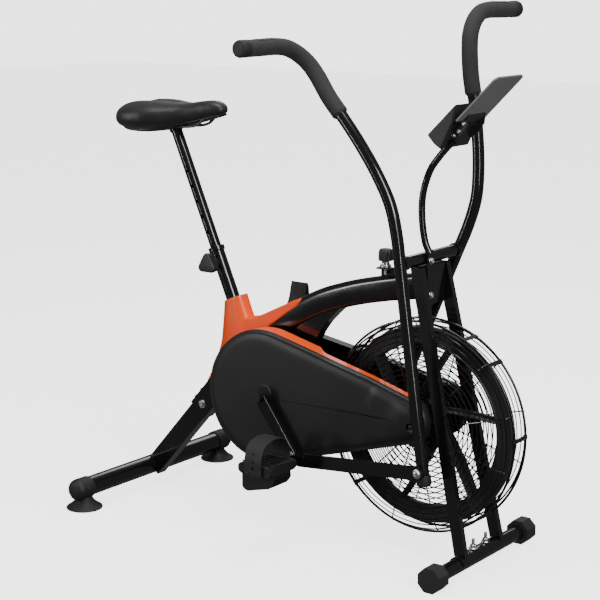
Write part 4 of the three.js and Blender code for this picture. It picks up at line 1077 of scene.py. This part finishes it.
def seat_clamp():
    """A ring on the post's top, a cross bolt, and two rods that the saddle stands on."""
    top = at(SEAT_LOW[0], 0, SEAT_LOW[1]) + SEAT_AXIS * ((SEAT_LENGTH - POST_BURIED + POST_LENGTH) * MM)
    ring = lathe_mesh([(0, -10), (16.4, -10), (17.4, -9), (17.4, 5), (16.4, 6), (0, 6)], top, SEAT_AXIS, 40)
    block = prism_mesh([(-776, 948), (-738, 948), (-734, 953), (-734, 961), (-738, 965), (-776, 965),
                        (-780, 961), (-780, 953)], -26, 26)
    piece("fine_seat_clamp", *merge(ring, block), "dark_steel", "seat_unit", ("seat_clamp",), bevel=1,
          look="frame_paint")
    rods = [rings_to_mesh(sweep_rings(catmull([at(x, y, z) for x, z in RAIL_LINE], 5), round_section(3.5, 16)))
            for y in (-21, 21)]
    piece("saddle_rods", *merge(*rods), "dark_steel", "seat_unit")
    for side, sign in SIDES:
        bolt(f"seat_clamp_nut_{side}", at(-757, 26 * sign, 956), ACROSS * sign, 7, 5.4, "zinc", "seat_unit",
             washer=9, recess=False)


def seat_post():
    low = at(SEAT_LOW[0], 0, SEAT_LOW[1])
    bottom = SEAT_LENGTH - POST_BURIED
    top = bottom + POST_LENGTH
    profile = [(0, bottom), (POST_R - 0.8, bottom), (POST_R, bottom + 1), (POST_R, top - 1), (POST_R - 1, top),
               (0, top)]
    post = lathe("fine_seat_post", profile, low, SEAT_AXIS, "frame_paint", "seat_unit", 48,
                 replaces=("seat_post",), sharp=30)
    holes = []
    for i in range(POST_HOLES):
        place = low + SEAT_AXIS * ((SEAT_LENGTH * PIN_PLACE + POST_PITCH * (i - 1)) * MM)
        holes.append(bar_mesh(place + PIN_AXIS * 0.007, place + PIN_AXIS * 0.03, 4.6, 24))
    carve(post, [merge(*holes)])


def fluted(name, profile, centre, axis, slot, body, flutes, depth, replaces=(), sides=96):
    """A turned knob whose outside is fluted where its third number says so."""
    u, v = across(axis)
    rings = []
    for radius, height, share in profile:
        ring = []
        for i in range(sides):
            angle = 2 * math.pi * i / sides
            r = max(0.02, radius - depth * share * (0.5 + 0.5 * math.cos(flutes * angle)) ** 2) * MM
            ring.append(centre + axis * (height * MM) + u * (r * math.cos(angle)) + v * (r * math.sin(angle)))
        rings.append(ring)
    return piece(name, *rings_to_mesh(rings), slot, body, replaces, sharp=40)


KNOB_NECK = 11
# The knob's size, where 0 is its round neck, and the distance from the seat tube's axis.
KNOB_RINGS = ((0, 18.8), (0, 33), (0.74, 33.4), (0.83, 35), (0.9, 39), (0.96, 46), (0.99, 53), (0.99, 55.4),
              (0.96, 57.4), (0.91, 58.6), (0.84, 59), (0.82, 58.4), (0.5, 58.8), (0.1, 59))


def triangle_radius(angle, inner=19.8, power=2.2):
    """A rounded triangle with one corner up: its radius in a direction."""
    sides = (max(0.0, math.cos(angle - math.radians(normal))) for normal in (30, 150, 270))
    return inner / sum(side ** power for side in sides) ** (1 / power)


def knobs():
    place = at(SEAT_LOW[0], 0, SEAT_LOW[1]) + SEAT_AXIS * (SEAT_LENGTH * PIN_PLACE * MM)
    u, v = across(PIN_AXIS)
    rings = []
    for k, height in KNOB_RINGS:
        ring = []
        for i in range(96):
            angle = 2 * math.pi * i / 96
            r = (k * triangle_radius(angle) if k > 0 else KNOB_NECK) * MM
            ring.append(place + PIN_AXIS * (height * MM) + u * (r * math.cos(angle)) + v * (r * math.sin(angle)))
        rings.append(ring)
    piece("fine_seat_knob", *rings_to_mesh(rings), "cover_plastic", "seat_pin_unit", ("seat_knob",), sharp=32)
    lathe("seat_knob_pin", [(0, 15), (4.8, 15), (4.8, 19), (0, 19)], place, PIN_AXIS, "zinc", "seat_pin_unit",
          24)
    tension = Vector(JOINTS["tension_turn"]["pos_m"])
    base_point = Vector((tension.x, tension.y, 0))
    profile = [(0, 684, 0), (15.6, 684, 0), (16.6, 685, 0.6), (17, 687, 1), (16.8, 697, 1), (16.3, 705, 1),
               (15.2, 709, 0.8), (12.6, 711, 0.2), (0, 711, 0)]
    fluted("fine_tension_knob", profile, base_point, UP, "cover_plastic", "tension_unit", 9, 2.2,
           ("tension_knob",))
    threaded_rod("tension_thread", base_point + UP * 0.652, UP, 4, 36, "zinc", "tension_unit")
    profile = [(0, 668.2), (12, 668.2), (13, 669), (13, 674), (12.4, 674.8), (9.4, 675), (9, 680.4), (8.4, 681),
               (0, 681)]
    nut = lathe("tension_nut", profile, base_point, UP, "zinc", "frame", 40, sharp=30)
    carve(nut, [bar_mesh(base_point + UP * 0.66, base_point + UP * 0.69, 4.25, 24)])


# ---------------------------------------------------------------- display
POST_LINE = ((20, 714), (8, 738), (-1, 786), (-2, 831), (5, 868), (20, 905), (42, 934), (67, 961), (76, 969))
DISPLAY = ((44, 963), (62, 952), (92, 1014), (98, 1053), (26, 982))


def display():
    y = -28
    line = catmull([at(x, y, z) for x, z in POST_LINE], 8)
    tube("fine_console_post", line, 8, "frame_paint", "frame", 28, replaces=("console_post",))
    plate = box_mesh(at(17.5, y - 11, 602), at(23, y + 11, 722))
    piece("console_post_plate", *plate, "frame_paint", "frame", bevel=1.2)

    prism("fine_console", DISPLAY, -58, 58, "cover_plastic", "frame", replaces=("console",), bevel=3.5,
          segments=4)
    slope = Vector((DISPLAY[3][0] - DISPLAY[4][0], 0, DISPLAY[3][1] - DISPLAY[4][1])).normalized()
    facing = Vector((-slope.z, 0, slope.x))
    centre = at((DISPLAY[3][0] + DISPLAY[4][0]) / 2, 0, (DISPLAY[3][1] + DISPLAY[4][1]) / 2)

    def on_face(along, y_mm, out):
        return centre + slope * (along * MM) + Vector((0, y_mm * MM, 0)) + facing * (out * MM)

    def panel(low_a, high_a, half, low_out, high_out, corner):
        outline = rounded_rectangle(high_a - low_a, 2 * half, corner)
        mid = (low_a + high_a) / 2
        return rings_to_mesh([[on_face(mid + v / MM, u / MM, out) for u, v in outline]
                              for out in (low_out, high_out)])

    piece("console_bezel", *panel(-10, 40, 48, -1, 0.9, 5), "cover_plastic", "frame", bevel=0.5)
    piece("console_screen", *panel(-5, 35, 42, -1, 1.2, 3), "cover_plastic", "frame", look="display")
    buttons = []
    for y_mm in (-30, 0, 30):
        outline = [(9 * c, 5 * s) for c, s in circle(28)]
        buttons.append(rings_to_mesh([[on_face(-26 + v * k, y_mm + u * k, out) for u, v in outline]
                                      for k, out in ((1, -1), (1, 1.2), (0.9, 2))]))
    piece("console_buttons", *merge(*buttons), "rubber", "frame")

    start, end = at(103, 0, 1015), at(200, 0, 1112)
    along = (end - start).normalized()
    outward = Vector((-along.z, 0, along.x))
    length = (end - start).length / MM
    half, corner = 60, 13
    outline = [(0, -half), (0, half)]
    for centre_y, first in ((half - corner, 90), (corner - half, 0)):
        for degrees in range(first, first - 91, -10):
            angle = math.radians(degrees)
            outline.append((length - corner + corner * math.cos(angle), centre_y + corner * math.sin(angle)))
    plate = rings_to_mesh([
        [start + along * (a * MM) + ACROSS * (b * MM) + outward * (o * MM) for a, b in outline]
        for o in (0, 4.9)])
    piece("fine_tablet_holder", *plate, "tablet_grey", "frame", ("tablet_holder",), bevel=1.2, segments=3)
    wedge = ((103, 1015), (94, 1006), (72, 980), (84, 973), (101, 985), (116, 1006), (118, 1030))
    parts = [prism_mesh(wedge, -37, -33), prism_mesh(wedge, 33, 37),
             prism_mesh(((94, 1006), (72, 980), (75, 977), (97, 1003)), -36, 36),
             prism_mesh(((100, 1012), (118, 1030), (117, 1022), (105, 1009)), -36, 36)]
    piece("tablet_bracket", *merge(*parts), "tablet_grey", "frame", bevel=0.8, look="cover_plastic")
    for k, (x, z) in enumerate(((82, 982), (94, 992), (107, 1010))):
        for side, sign in SIDES:
            bolt(f"tablet_screw_{k + 1}_{side}", at(x, 37 * sign, z), ACROSS * sign, 3.4, 2.4, "zinc", "frame",
                 washer=4.6)


# ---------------------------------------------------------------- floor, light and camera
def add_light(name, sizes, energy, place, target):
    data = bpy.data.lights.new(name, "AREA")
    data.shape = "RECTANGLE"
    data.size, data.size_y = sizes
    data.energy = energy
    lamp = bpy.data.objects.new(name, data)
    lamp.location = place
    lamp.rotation_euler = (Vector(target) - Vector(place)).to_track_quat("-Z", "Y").to_euler()
    bpy.context.scene.collection.objects.link(lamp)


def studio():
    floor_mesh = bpy.data.meshes.new("floor")
    size = 14
    corners = [(-size, -size, 0), (size, -size, 0), (size, size, 0), (-size, size, 0)]
    floor_mesh.from_pydata(corners, [], [(0, 1, 2, 3)])
    material, shader = new_material("pale_floor", (0.8, 0.8, 0.8), 0.8)
    shader.inputs["Emission Color"].default_value = (1, 1, 1, 1)
    shader.inputs["Emission Strength"].default_value = 2.6
    shader.inputs["Specular IOR Level"].default_value = 0.1
    vary(material, shader, (0.8, 0.8, 0.8), 0.01, 3, 0.8, 0.03)
    floor_mesh.materials.append(material)
    floor = bpy.data.objects.new("floor", floor_mesh)
    floor.location.z = -0.0005
    floor.visible_glossy = False
    floor.visible_diffuse = False
    bpy.context.scene.collection.objects.link(floor)

    world = bpy.data.worlds.new("studio")
    bpy.context.scene.world = world
    world.use_nodes = True
    tree = world.node_tree
    room = tree.nodes["Background"]
    room.inputs["Color"].default_value = (1, 1, 1, 1)
    room.inputs["Strength"].default_value = 0.15
    backdrop = tree.nodes.new("ShaderNodeBackground")
    backdrop.inputs["Color"].default_value = (1, 1, 1, 1)
    backdrop.inputs["Strength"].default_value = 3.1
    rays = tree.nodes.new("ShaderNodeLightPath")
    mix = tree.nodes.new("ShaderNodeMixShader")
    tree.links.new(rays.outputs["Is Camera Ray"], mix.inputs["Fac"])
    tree.links.new(room.outputs["Background"], mix.inputs[1])
    tree.links.new(backdrop.outputs["Background"], mix.inputs[2])
    tree.links.new(mix.outputs["Shader"], tree.nodes["World Output"].inputs["Surface"])

    target = (0.0, 0.0, 0.6)
    add_light("top", (2.2, 2.2), 80, (0.2, -0.4, 3.4), target)
    add_light("key", (0.9, 1.8), 70, (2.9, -1.2, 2.4), target)
    add_light("strip_left", (0.22, 2.8), 45, (-2.2, -2.9, 1.5), target)
    add_light("strip_right", (0.22, 2.8), 45, (3.3, -2.0, 1.5), target)
    add_light("back", (2.4, 1.2), 28, (-1.6, 3.2, 2.8), target)

    data = bpy.data.cameras.new("camera")
    data.lens = 96
    data.sensor_width = 36
    camera = bpy.data.objects.new("camera", data)
    camera.location = (2.2435, -3.005, 1.343)
    camera.rotation_euler = (math.radians(78.21), 0, math.radians(37.24))
    bpy.context.scene.collection.objects.link(camera)
    bpy.context.scene.camera = camera


finish_cad()
soften_cad()
base()
main_frame()
covers()
shroud()
guards()
fan()
crank_arms()
pedals()
levers()
saddle()
seat_clamp()
seat_post()
knobs()
display()
studio()
